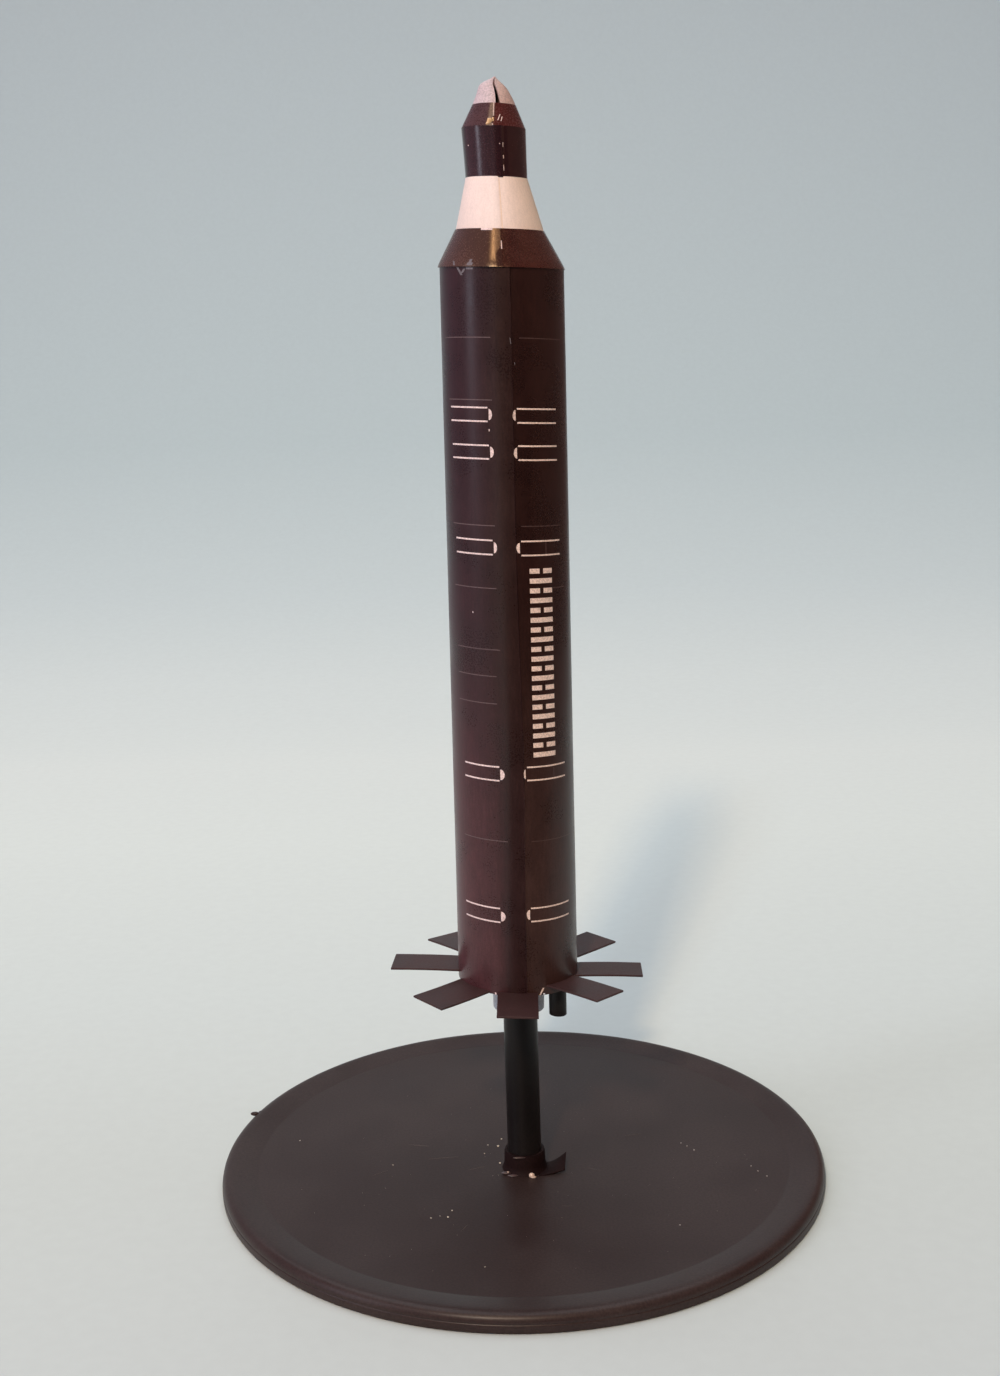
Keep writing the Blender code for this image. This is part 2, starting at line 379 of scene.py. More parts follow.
@dataclass(frozen=True)
class CardFinish:
    """Thin printed card: painted light and shade round the roll, fibres, faint scuffs and pale cut
    edges.
    """

    name: str
    # Colours round the roll; where they differ, they paint light and shade on the card
    zones: Stops
    # Painted reflection of the pale floor: colours round the roll that take over towards the bottom,
    # over the heights given next
    floor_reflection_zones: Stops = ()
    reflection_fade: Pair = (0.05, 0.15)
    cut: Colour = (0.62, 0.50, 0.46, 1.0)
    cut_share: float = 0.2
    cut_break: Pair = (0.46, 0.60)
    roughness: float = 0.30
    specular: float = 0.5
    gloss_tint: Colour = (1.0, 1.0, 1.0, 1.0)
    mottle: float = 0.18
    fibre: float = 0.10
    cloud_scale: float = 110.0
    fibre_scale: float = 2600.0
    fibre_stretch: Triple = (1.0, 1.0, 0.12)
    speck_scale: float = 3400.0
    speck_reach: Pair = (0.35, 0.65)
    dash_scale: float = 700.0
    rough_spread: Pair = (-0.04, 0.05)
    rub_reach: Pair = (0.3, 0.8)
    rub: float = 0.10
    relief: float = 0.000012
    relief_share: float = 0.25
    cloud_relief: float = 6.0

    def material(self) -> bpy.types.Material:
        """The finish as a material.

        Returns:
            The material, which reads how far round and how near a cut edge each vertex is.
        """
        graph = Graph(self.name)
        around = graph.calc("DIVIDE", graph.read("around"), FULL_TURN)
        colour = graph.ramp(around, self.zones)
        # Painted reflection of the floor: the lower colours take over towards the bottom
        if self.floor_reflection_zones:
            low = graph.ramp(around, self.floor_reflection_zones)
            colour = graph.blend(graph.span(graph.axis("Z"), *self.reflection_fade), low, colour)
        cloud = graph.grain(self.cloud_scale, detail=4.0)
        streak = graph.grain(self.fibre_scale, self.fibre_stretch, detail=2.0)
        speck = graph.grain(self.speck_scale, detail=1.0)
        fine = graph.product(graph.vary(cloud, self.mottle), graph.vary(streak, self.fibre))
        level = graph.product(fine, graph.vary(speck, self.fibre, self.speck_reach))
        dashes = graph.span(graph.grain(self.dash_scale, detail=2.0), *self.cut_break)
        edge = graph.product(graph.read("cut"), self.cut_share)
        colour = graph.blend(graph.product(edge, dashes), graph.scaled(colour, level), self.cut)
        rough = graph.uneven(cloud, self.roughness, self.rough_spread)
        rubbed = graph.span(speck, *self.rub_reach, 0.0, self.rub)
        graph.wear(colour, graph.calc("ADD", rough, rubbed))
        height = graph.calc("ADD", streak, graph.product(cloud, self.cloud_relief))
        graph.bump(height, self.relief_share, self.relief)
        graph.shader.inputs["Specular IOR Level"].default_value = self.specular
        graph.shader.inputs["Specular Tint"].default_value = self.gloss_tint
        return graph.material


@dataclass(frozen=True)
class PlasticFinish:
    """Moulded plastic: fine grain, soft waves, patches and motes of dust."""

    name: str
    colour: Colour
    dust: Colour = (0.20, 0.17, 0.16, 1.0)
    dust_share: float = 0.25
    roughness: float = 0.35
    specular: float = 0.5
    wave: float = 0.00006
    wave_scale: float = 40.0
    grain_depth: float = 0.00002
    grain_scale: float = 2200.0
    grain_share: float = 0.18
    relief_share: float = 0.6
    film_reach: Pair = (0.35, 0.7)
    mote_scale: float = 420.0
    mote_size: Pair = (0.14, 0.05)
    mote_reach: Pair = (0.5, 0.75)
    rough_reach: Pair = (0.25, 0.75)
    rough_spread: Pair = (-0.04, 0.08)

    def material(self) -> bpy.types.Material:
        """The finish as a material.

        Returns:
            The material.
        """
        graph = Graph(self.name)
        cloud = graph.grain(self.wave_scale, detail=4.0)
        fine = graph.grain(self.grain_scale, detail=2.0)
        spots = graph.node(
            "ShaderNodeTexVoronoi", None, {"Vector": graph.place, "Scale": self.mote_scale}
        ).outputs["Distance"]
        film = graph.product(graph.span(cloud, *self.film_reach), self.dust_share)
        motes = graph.product(
            graph.span(spots, *self.mote_size), graph.span(cloud, *self.mote_reach)
        )
        share = graph.calc("MAXIMUM", film, graph.product(motes, self.dust_share))
        tone = graph.scaled(self.colour[:3], graph.vary(fine, self.grain_share))
        colour = graph.blend(graph.product(share, fine), tone, self.dust)
        rough = graph.uneven(cloud, self.roughness, self.rough_spread, self.rough_reach)
        graph.wear(colour, rough)
        height = graph.calc("ADD", graph.product(fine, self.grain_depth / self.wave), cloud)
        graph.bump(height, self.relief_share, self.wave)
        graph.shader.inputs["Specular IOR Level"].default_value = self.specular
        return graph.material


@dataclass(frozen=True)
class InkFinish:
    """Unprinted card that shows through as fine pale lines, with painted light: cooler on the left,
    warmer to the right.
    """

    name: str
    left: Colour
    right: Colour
    across: Pair = (-0.004, 0.004)
    roughness: float = 0.45
    rough_spread: Pair = (-0.05, 0.1)
    ragged_scale: float = 3000.0
    ragged_reach: Pair = (0.25, 0.7)
    ragged_levels: Pair = (0.7, 1.1)
    relief: float = 0.00002
    relief_share: float = 0.2

    def material(self) -> bpy.types.Material:
        """The finish as a material.

        Returns:
            The material.
        """
        graph = Graph(self.name)
        # Painted light on the card: one colour left of X = 0 and another right of it
        colour = graph.blend(graph.span(graph.axis("X"), *self.across), self.left, self.right)
        ragged = graph.grain(self.ragged_scale, detail=2.0)
        level = graph.span(ragged, *self.ragged_reach, *self.ragged_levels)
        rough = graph.uneven(ragged, self.roughness, self.rough_spread)
        graph.wear(graph.scaled(colour, level), rough)
        graph.bump(ragged, self.relief_share, self.relief)
        return graph.material


@dataclass(frozen=True)
class GlueFinish:
    """A clear glue bead with a warm cloudy heart."""

    name: str
    colour: Colour
    roughness: float = 0.12
    rough_spread: Pair = (0.0, 0.15)
    cloud_scale: float = 900.0
    cloud_levels: Pair = (0.6, 1.25)
    relief: float = 0.00005
    relief_share: float = 0.3
    coat: float = 0.5
    coat_roughness: float = 0.05

    def material(self) -> bpy.types.Material:
        """The finish as a material.

        Returns:
            The material.
        """
        graph = Graph(self.name)
        cloud = graph.grain(self.cloud_scale, detail=3.0)
        tone = graph.scaled(self.colour[:3], graph.span(cloud, *NOISE, *self.cloud_levels))
        graph.wear(tone, graph.uneven(cloud, self.roughness, self.rough_spread))
        graph.bump(cloud, self.relief_share, self.relief)
        graph.shader.inputs["Coat Weight"].default_value = self.coat
        graph.shader.inputs["Coat Roughness"].default_value = self.coat_roughness
        return graph.material


@dataclass(frozen=True)
class SweepFinish:
    """Plain studio paper with painted light: paler where the light pools on the floor, bluer and
    darker up the wall.
    """

    name: str = "studio_paper"
    reach: Pair = (-0.1, 1.6)
    # Painted light along the paper, from the front of the floor up the wall
    painted_light_tones: Stops = (
        (-0.10, (0.60, 0.66, 0.66, 1.0)),
        (0.0, (0.63, 0.69, 0.67, 1.0)),
        (0.10, (0.70, 0.77, 0.75, 1.0)),
        (0.25, (0.785, 0.85, 0.815, 1.0)),
        (0.38, (0.81, 0.865, 0.83, 1.0)),
        (0.54, (0.75, 0.815, 0.795, 1.0)),
        (0.70, (0.65, 0.73, 0.73, 1.0)),
        (0.95, (0.55, 0.64, 0.65, 1.0)),
        (1.60, (0.52, 0.595, 0.62, 1.0)),
    )
    fibre_scale: float = 300.0
    fibre_reach: Pair = (0.2, 0.8)
    fibre_share: float = 0.015
    roughness: Pair = (0.8, 0.9)
    specular: float = 0.2

    def material(self) -> bpy.types.Material:
        """The finish as a material.

        Returns:
            The material, whose painted light follows the length of the paper.
        """
        graph = Graph(self.name)
        low, high = self.reach
        length = graph.calc("ADD", graph.axis("Y"), graph.axis("Z"))
        share = graph.node("ShaderNodeMapRange", None, {0: length, 1: low, 2: high}).outputs[0]
        stops = [((place - low) / (high - low), colour) for place, colour in self.painted_light_tones]
        fibre = graph.grain(self.fibre_scale, detail=4.0)
        level = graph.vary(fibre, self.fibre_share, self.fibre_reach)
        rough = graph.span(fibre, *self.fibre_reach, *self.roughness)
        graph.wear(graph.scaled(graph.ramp(share, stops), level), rough)
        graph.shader.inputs["Specular IOR Level"].default_value = self.specular
        return graph.material


class Workpiece:
    """A mesh being made, from its first vertices to its place in the scene."""

    def __init__(self, name: str) -> None:
        """Starts an empty mesh.

        Args:
            name: The finished piece's name.
        """
        self.name = name
        self.mesh = bmesh.new()

    def line(self, points: Iterable[Sequence[float]], closed: bool) -> tuple[list, list]:
        """Vertices joined by edges.

        Args:
            points: The corners in order.
            closed: Whether the last is joined to the first.

        Returns:
            The new vertices and edges.
        """
        verts = [self.mesh.verts.new(point) for point in points]
        edges = [self.mesh.edges.new(ends) for ends in zip(verts, verts[1:])]
        if closed:
            edges.append(self.mesh.edges.new((verts[-1], verts[0])))
        return verts, edges

    def profile(
        self, section: Iterable[Pair], direction: float, closed: bool
    ) -> tuple[list, list]:
        """Draws a section of (radius, height) points that stands on the Z axis.

        Args:
            section: The points in order.
            direction: Where it stands, in radians from -Y towards +X.
            closed: Whether its ends are joined.

        Returns:
            The new vertices and edges.
        """
        across, out = sin(direction), -cos(direction)
        points = ((radius * across, radius * out, height) for radius, height in section)
        return self.line(points, closed)

    def spin(self, parts: list, angle: float, steps: int, merge: bool) -> list:
        """Spins vertices and edges about the Z axis.

        Args:
            parts: What is spun.
            angle: How far, in radians.
            steps: How many steps the spin has.
            merge: Whether the last step of a full turn joins the first.

        Returns:
            The vertices and edges of the last step.
        """
        spun = bmesh.ops.spin(
            self.mesh,
            geom=parts,
            cent=ORIGIN,
            axis=UPWARDS,
            angle=angle,
            steps=steps,
            use_merge=merge,
        )
        return spun["geom_last"]

    def turn(self, section: Sequence[Pair], steps: int) -> None:
        """Spins a section of (radius, height) points fully round the Z axis.

        Args:
            section: The points, closed by the axis or by joining the ends.
            steps: How many steps the spin has.
        """
        closed = section[0][0] > 0.0 and section[-1][0] > 0.0
        verts, edges = self.profile(section, 0.0, closed)
        self.spin(verts + edges, 2 * pi, steps, merge=True)
        bmesh.ops.remove_doubles(self.mesh, verts=self.mesh.verts, dist=MERGE)
        self.outward()

    def outward(self) -> None:
        """Points every face outwards."""
        bmesh.ops.recalc_face_normals(self.mesh, faces=self.mesh.faces)

    def soften(self, width: float, segments: int = 2, sharper: float = 40.0) -> None:
        """Rounds the edges that are sharper than an angle.

        Args:
            width: How far the rounding reaches.
            segments: How many faces it has across.
            sharper: The least angle between faces, in degrees.
        """
        limit = radians(sharper)
        edges = [
            edge
            for edge in self.mesh.edges
            if len(edge.link_faces) == 2 and edge.calc_face_angle(0.0) > limit
        ]
        bmesh.ops.bevel(
            self.mesh,
            geom=edges,
            offset=width,
            affect="EDGES",
            segments=segments,
            profile=0.5,
            material=-1,
            clamp_overlap=True,
        )

    def move(self, matrix: Matrix) -> None:
        """Moves the whole mesh."""
        bmesh.ops.transform(self.mesh, matrix=matrix, verts=self.mesh.verts)

    def bend(self, shape: Callable[[Vector], Sequence[float]]) -> None:
        """Moves each vertex to where a rule sends it.

        Args:
            shape: The rule, from a vertex's place to its new place.
        """
        for vertex in self.mesh.verts:
            vertex.co = shape(vertex.co.copy())

    def finish(
        self,
        material: bpy.types.Material,
        slot: Slot | None,
        replaces: Sequence[str] = (),
        crease: float = 40.0,
    ) -> bpy.types.Object:
        """Makes the mesh a piece of the object.

        Args:
            material: Its finish.
            slot: Not given to the piece; only whether it is None is read, and None makes it a part of
                the stage.
            replaces: The CAD nodes it stands for.
            crease: Edges sharper than this many degrees stay sharp.

        Returns:
            The piece.
        """
        data = bpy.data.meshes.new(self.name)
        self.mesh.to_mesh(data)
        self.mesh.free()
        data.materials.append(material)
        data.shade_smooth()
        data.set_sharp_from_angle(angle=radians(crease))
        made = bpy.data.objects.new(self.name, data)
        bpy.context.scene.collection.objects.link(made)
        if slot is None:
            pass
        else:
            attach(made, BODY)
        if replaces:
            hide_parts(*replaces)
        log.info("%s: %d faces", self.name, len(data.polygons))
        return made


# Unevenness of rolled card: share, waves round the roll, turn with height in radians a metre, start
WAVES = ((0.45, 2, 31.0, 0.0), (0.3, 3, -57.0, 1.3), (0.25, 5, 83.0, 2.1))
# Passes in which the direction of a place settles, since the seam shifts it
PASSES = 4


@dataclass(frozen=True)
class RolledSheet:
    """A sheet of card rolled into a tube or cone. Its upper layer ends in a low step at the front.

    Angles are in degrees from the front, -Y, towards +X.
    """

    name: str
    rows: tuple[Pair, ...]
    seam: tuple[Pair, ...]
    wall: float = 0.0004
    lap: float = 0.00018
    ridge: float = 17.0
    ridge_width: float = 9.0
    unevenness: float = 0.00003
    steps: int = 180
    edge: float = 0.35
    shift: Pair = (0.0, 0.0)
    top_slope: float = 0.0
    slope_reach: float = 0.006
    seam_reach: float = 70.0

    def seam_at(self, height: float) -> float:
        """Where the upper layer ends at a height."""
        return along(self.seam, height)

    def near(self, around: float) -> float:
        """How much a place so many degrees round from the seam follows it, from 0 to 1."""
        return 1.0 - soft_step(0.0, self.seam_reach, min(around, FULL_TURN - around))

    def rise(self, around: float, height: float) -> float:
        """How far the card stands off the plain shape.

        Args:
            around: Degrees from the seam.
            height: Height at the axis.

        Returns:
            The distance outwards.
        """
        start = FULL_TURN - self.ridge
        half = self.ridge_width / 2
        lap = self.lap * soft_step(start - half, start + half, around)
        turn = radians(around)
        waves = sum(
            share * sin(count * turn + twist * height + begin)
            for share, count, twist, begin in WAVES
        )
        return lap + self.unevenness * waves

    def angle(self, around: float, height: float) -> float:
        """The direction of a place that is so many degrees round from the seam.

        Args:
            around: Degrees from the seam.
            height: Height at the axis.

        Returns:
            Degrees from the front.
        """
        first = self.seam[0][1]
        return first + around + self.near(around) * (self.seam_at(height) - first)

    def around(self, direction: float, height: float) -> float:
        """How many degrees round from the seam a direction is.

        Args:
            direction: Degrees from the front.
            height: Height at the axis.

        Returns:
            Degrees from the seam.
        """
        first = self.seam[0][1]
        aside = self.seam_at(height) - first
        found = (direction - first) % FULL_TURN
        for _ in range(PASSES):
            found = (direction - first - self.near(found) * aside) % FULL_TURN
        return found

    def settled(self, place: Vector) -> Vector:
        """Shifts a point sideways with its height and down with the slope of the upper rim.

        Args:
            place: The point on the plain shape.

        Returns:
            The point as the sheet was glued.
        """
        low, high = self.rows[0][0], self.rows[-1][0]
        share = (place.z - low) / (high - low)
        slope = self.top_slope * soft_step(high - self.slope_reach, high, place.z)
        aside = self.shift[0] + (self.shift[1] - self.shift[0]) * share
        return Vector((place.x + aside, place.y, place.z + slope * place.y))

    def at(self, direction: float, height: float, lift: float = 0.0) -> Vector:
        """A point on the outside of the card, before the rocket's stance.

        Args:
            direction: Degrees from the front.
            height: Height at the axis.
            lift: Distance off the surface.

        Returns:
            The point.
        """
        radius = along(self.rows, height) + self.rise(self.around(direction, height), height) + lift
        turn = radians(direction)
        return self.settled(Vector((radius * sin(turn), -radius * cos(turn), height)))

    def step_place(self, place: Vector) -> float:
        """How far round a vertex of the spun mesh belongs.

        The steps beside the seam are drawn up to the cut edges, so that these stay narrow.

        Args:
            place: The vertex between the two cut edges.

        Returns:
            Degrees from the seam.
        """
        around = (degrees(atan2(place.x, -place.y)) - self.seam[0][1]) % FULL_TURN
        beside = 1.5 * FULL_TURN / self.steps
        if around < beside:
            return self.edge
        return FULL_TURN - self.edge if around > FULL_TURN - beside else around

    def workpiece(self) -> Workpiece:
        """Makes the sheet's mesh, with how far round and how near a cut edge each vertex is.

        Returns:
            The mesh, before the rocket's stance.
        """
        work = Workpiece(self.name)
        mesh = work.mesh
        outer = [(radius, height) for height, radius in self.rows]
        inner = [(radius - self.wall, height) for radius, height in reversed(outer)]
        verts, edges = work.profile(outer + inner, radians(self.seam[0][1]), closed=True)
        last = work.spin(verts + edges, 2 * pi, self.steps, merge=False)
        starts, ends = set(verts), set(of_kind(last, bmesh.types.BMVert))
        round_layer = mesh.verts.layers.float.new("around")
        cut_layer = mesh.verts.layers.float.new("cut")
        for vertex in mesh.verts:
            if vertex in starts:
                around = 0.0
            elif vertex in ends:
                around = FULL_TURN
            else:
                around = self.step_place(vertex.co)
            x, y, z = vertex.co
            radius = sqrt(x * x + y * y) + self.rise(around, z)
            turn = radians(self.angle(around, z))
            vertex.co = self.settled(Vector((radius * sin(turn), -radius * cos(turn), z)))
            vertex[round_layer] = around
            vertex[cut_layer] = float(vertex in starts or vertex in ends)
        bmesh.ops.bridge_loops(mesh, edges=edges + of_kind(last, bmesh.types.BMEdge))
        work.outward()
        return work


# Grid of a printed bar, so that it follows the roll: degrees round and millimetres up of one face
BAR_FACE = (2.5, 3.0)
HALF_ROUND_STEPS = 32


class Stencil:
    """Flat marks laid out as (direction, height) and then wrapped on a rolled sheet."""

    def __init__(self, name: str, sheet: RolledSheet) -> None:
        """Starts with no marks.

        Args:
            name: The finished piece's name.
            sheet: What the marks lie on.
        """
        self.work = Workpiece(name)
        self.sheet = sheet

    def bar(self, sides: Pair, ends: Pair, lean: float = 0.0) -> None:
        """A plain bar.

        Args:
            sides: Its first and last direction, in degrees.
            ends: Its lowest and highest point, in millimetres.
            lean: How many degrees its top stands to the right of its foot.
        """
        across, up = sides[1] - sides[0], ends[1] - ends[0]
        place = Matrix.Translation(((sides[0] + sides[1]) / 2, (ends[0] + ends[1]) / 2, 0.0))
        size = Matrix.Diagonal((across, up, 1.0, 1.0))
        size[0][1] = lean
        bmesh.ops.create_grid(
            self.work.mesh,
            x_segments=max(2, round(abs(across) / BAR_FACE[0])),
            y_segments=max(1, round(abs(up) / BAR_FACE[1])),
            size=0.5,
            matrix=place @ size,
        )

    def half_round(self, flat: float, far: float, ends: Pair) -> None:
        """Half of an ellipse.

        Args:
            flat: The direction of its flat side.
            far: The direction that its round side reaches.
            ends: Its lowest and highest point, in millimetres.
        """
        mesh = self.work.mesh
        made = bmesh.ops.create_circle(mesh, cap_ends=True, segments=HALF_ROUND_STEPS, radius=1.0)
        verts = made["verts"]
        faces = list({face for vertex in verts for face in vertex.link_faces})
        edges = list({edge for vertex in verts for edge in vertex.link_edges})
        cut = bmesh.ops.bisect_plane(
            mesh,
            geom=verts + edges + faces,
            plane_co=ORIGIN,
            plane_no=(-1.0, 0.0, 0.0),
            clear_outer=True,
        )
        kept = list(set(of_kind(cut["geom"], bmesh.types.BMVert)))
        place = Matrix.Translation((flat, (ends[0] + ends[1]) / 2, 0.0))
        size = Matrix.Diagonal((far - flat, (ends[1] - ends[0]) / 2, 1.0, 1.0))
        bmesh.ops.transform(mesh, matrix=place @ size, verts=kept)

    def wrapped(self, low: float, high: float, stance: Matrix) -> Workpiece:
        """Gives the marks a thickness and lays them on the sheet.

        Args:
            low: How far the underside is off the surface; less than 0 is inside it.
            high: How far the top is off the surface.
            stance: The sheet's own place.

        Returns:
            The marks as one workpiece.
        """
        mesh = self.work.mesh
        raised = bmesh.ops.extrude_face_region(mesh, geom=list(mesh.faces), use_keep_orig=True)
        top = of_kind(raised["geom"], bmesh.types.BMVert)
        bmesh.ops.translate(mesh, vec=UPWARDS, verts=top)

        def pressed(place: Vector) -> Vector:
            """Where a point of the flat layout comes to lie on the sheet."""
            return self.sheet.at(place.x, place.y * MM, low + place.z * (high - low))

        self.work.bend(pressed)
        self.work.outward()
        self.work.move(stance)
        return self.work


@dataclass(frozen=True)
class Base:
    """The round base: a lid of brown plastic with a soft raised rim."""

    section: tuple[Pair, ...] = (
        (0.0, 2.70),
        (25.0, 2.70),
        (45.0, 2.70),
        (55.9, 2.70),
        (56.1, 2.71),
        (56.35, 2.76),
        (57.2, 2.93),
        (58.4, 3.14),
        (59.6, 3.33),
        (60.6, 3.47),
        (61.3, 3.54),
        (61.9, 3.54),
        (62.4, 3.44),
        (62.85, 3.18),
        (63.15, 2.80),
        (63.34, 2.35),
        (63.44, 1.90),
        (63.36, 1.78),
        (63.46, 1.66),
        (63.5, 1.50),
        (63.5, 0.45),
        (63.42, 0.15),
        (63.2, 0.0),
        (55.0, 0.0),
        (0.0, 0.0),
    )
    steps: int = 192

    def build(self, material: bpy.types.Material) -> None:
        """Makes the base.

        Args:
            material: Its finish.
        """
        work = Workpiece("stand_base")
        work.turn([(radius * MM, height * MM) for radius, height in self.section], self.steps)
        work.finish(material, Slot.BASE, ["base_disc"], crease=50.0)


@dataclass(frozen=True)
class Post:
    """The black tube that holds the rocket up, with the sleeve at its foot."""

    radius: float = 0.0035
    wall: float = 0.0006
    top: float = 0.0459
    # An extra ring of points lies this far below the top
    loop_drop: float = 0.02
    floor: float = 0.0027
    sleeve_radius: float = 0.0042
    sleeve_height: float = 0.0041
    sleeve_slack: float = 0.00005
    sleeve_lip: Pair = (0.0001, 0.0003)
    # The sleeve widens by the first number at a height of the second over the floor
    flare: tuple[Pair, ...] = ((0.0001, 0.0016), (0.0002, 0.0007), (0.0005, 0.0002), (0.0006, 0.0))
    tab_card: float = 0.0003
    tab_curl: float = 1.6
    tab_grid: tuple[int, int] = (18, 10)
    tab_edge: float = 0.00008
    # Corners in millimetres from the post's axis: near and far root, near and far end
    tab_corners: tuple[Triple, ...] = (
        (2.7, -4.6, 0.0),
        (4.3, 1.4, 0.0),
        (8.2, -3.6, 0.8),
        (8.7, 0.0, 3.0),
    )
    steps: int = 64

    def build(self, material: bpy.types.Material) -> None:
        """Makes the post.

        Args:
            material: Its finish.
        """
        work = Workpiece("post")
        inner = self.radius - self.wall
        work.turn(
            (
                (self.radius, self.top),
                (self.radius, self.top - self.loop_drop),
                (self.radius, self.floor),
                (inner, self.floor),
                (inner, self.top),
            ),
            self.steps,
        )
        work.move(STANCE.post())
        work.finish(material, Slot.BLACK, ["post_tube"])

    def foot(self, material: bpy.types.Material) -> None:
        """Makes the sleeve, a little flared where it was glued down, and its slit tab.

        Args:
            material: Their finish.
        """
        work = Workpiece("foot_sleeve")
        low, high = self.floor, self.floor + self.sleeve_height
        inner = self.radius + self.sleeve_slack
        work.turn(
            (
                (inner, high),
                (self.sleeve_radius - self.sleeve_lip[0], high),
                (self.sleeve_radius, high - self.sleeve_lip[1]),
                *((self.sleeve_radius + wider, low + rise) for wider, rise in self.flare),
                (inner, low),
            ),
            self.steps,
        )
        work.move(STANCE.post())
        work.finish(material, Slot.BLACK, ["foot_collar"])
        self.tab(material)

    def tab(self, material: bpy.types.Material) -> None:
        """Makes the broad tab that curls up to the right of the foot.

        Args:
            material: Its finish.
        """
        work = Workpiece("foot_tab")
        across, deep = self.tab_grid
        bmesh.ops.create_grid(work.mesh, x_segments=across, y_segments=deep, size=0.5)
        near, far, near_end, far_end = (Vector(corner) * MM for corner in self.tab_corners)
        lift = Vector((0.0, 0.0, self.floor + self.tab_card / 2))

        def curled(place: Vector) -> Vector:
            """Spreads the flat grid between the tab's corners and curls its end up.

            Args:
                place: A point of a grid one unit wide, about its middle.

            Returns:
                The point on the tab.
            """
            share, side = place.x + 0.5, place.y + 0.5
            root, end = near.lerp(far, side), near_end.lerp(far_end, side)
            point = root.lerp(end, share)
            point.z = end.z * share**self.tab_curl
            return point + lift

        work.bend(curled)
        bmesh.ops.solidify(work.mesh, geom=work.mesh.faces, thickness=self.tab_card)
        work.outward()
        work.soften(self.tab_edge)
        work.move(STANCE.post())
        work.finish(material, Slot.BLACK)


def straight_rows(low: Pair, high: Pair, count: int) -> tuple[Pair, ...]:
    """Rows of (height, radius) at even steps along a straight side.

    Args:
        low: The lowest row.
        high: The highest row.
        count: How many steps lie between them.

    Returns:
        The rows.
    """
    climb, widening = high[0] - low[0], high[1] - low[1]
    return tuple(
        (low[0] + step / count * climb, low[1] + step / count * widening)
        for step in range(count + 1)
    )


BODY_SHEET = RolledSheet(
    name="rolled_body",
    rows=straight_rows((TAIL_Z, TAIL_RADIUS), (BODY_TOP_Z, BODY_TOP_RADIUS), 28),
    seam=(
        (0.065, 7.6),
        (0.093, 9.4),
        (0.112, 8.0),
        (0.133, 6.6),
        (0.161, 7.0),
        (0.184, 6.9),
    ),
    top_slope=0.0406,
)

SHOULDER_SHEET = RolledSheet(
    name="shoulder",
    rows=(
        (0.1852, 0.0120),
        (0.1857, 0.01182),
        (0.1866, 0.01136),
        (0.1878, 0.01070),
        (0.1892, 0.00994),
        (0.1906, 0.00917),
        (0.1921, 0.00836),
    ),
    seam=((0.185, 1.0), (0.192, 0.5)),
    lap=0.00012,
    steps=120,
)

BAND_SHEET = RolledSheet(
    name="white_collar",
    rows=((0.1919, 0.00830), (0.1945, 0.00761), (0.198, 0.00668), (0.2014, 0.00577)),
    seam=((0.192, 2.0), (0.2014, 3.0)),
    lap=0.00012,
    steps=120,
    edge=2.0,
    shift=(0.00005, -0.00015),
)

UPPER_SHEET = RolledSheet(
    name="upper_sleeve",
    rows=((0.2012, 0.00575), (0.2045, 0.00581), (0.2075, 0.00588), (0.2102, 0.00596)),
    seam=((0.201, 12.0), (0.21, 14.0)),
    lap=0.00012,
    steps=120,
    edge=0.8,
    shift=(-0.00015, -0.0003),
)

NOSE_SHEET = RolledSheet(
    name="nose_ring",
    rows=((0.2101, 0.00597), (0.2122, 0.00501), (0.2143, 0.00404)),
    seam=((0.21, -3.0), (0.2143, 1.0)),
    lap=0.00015,
    steps=96,
    shift=(-0.0003, 0.0),
)


@dataclass(frozen=True)
class Window:
    """A printed pair of lines with a half-round at one end. Directions in degrees, heights in mm."""

    lines: Pair
    heights: Pair
    flat: float
    far: float
    ends: Pair


WINDOWS = (
    Window((-58.9, -16.4), (157.0, 159.5), -15.3, -12.3, (157.25, 159.3)),
    Window((-57.5, -15.8), (150.13, 152.6), -14.7, -11.4, (150.35, 152.4)),
    Window((-55.6, -14.6), (132.34, 135.0), -13.5, -10.5, (132.6, 134.7)),
    Window((-51.4, -13.4), (88.75, 91.45), -12.5, -8.4, (88.9, 91.0)),
    Window((-55.5, -15.9), (60.2, 63.0), -15.1, -10.8, (60.4, 62.4)),
    Window((10.4, 52.7), (156.85, 159.4), 9.0, 6.2, (157.2, 159.2)),
    Window((10.7, 53.2), (150.03, 152.6), 9.6, 6.6, (150.3, 152.3)),
    Window((11.4, 54.8), (132.3, 134.95), 10.2, 7.0, (132.7, 134.65)),
    Window((12.2, 56.4), (88.9, 91.5), 10.8, 9.0, (89.2, 91.1)),
    Window((13.0, 58.5), (60.5, 63.2), 12.0, 8.9, (60.9, 62.9)),
)


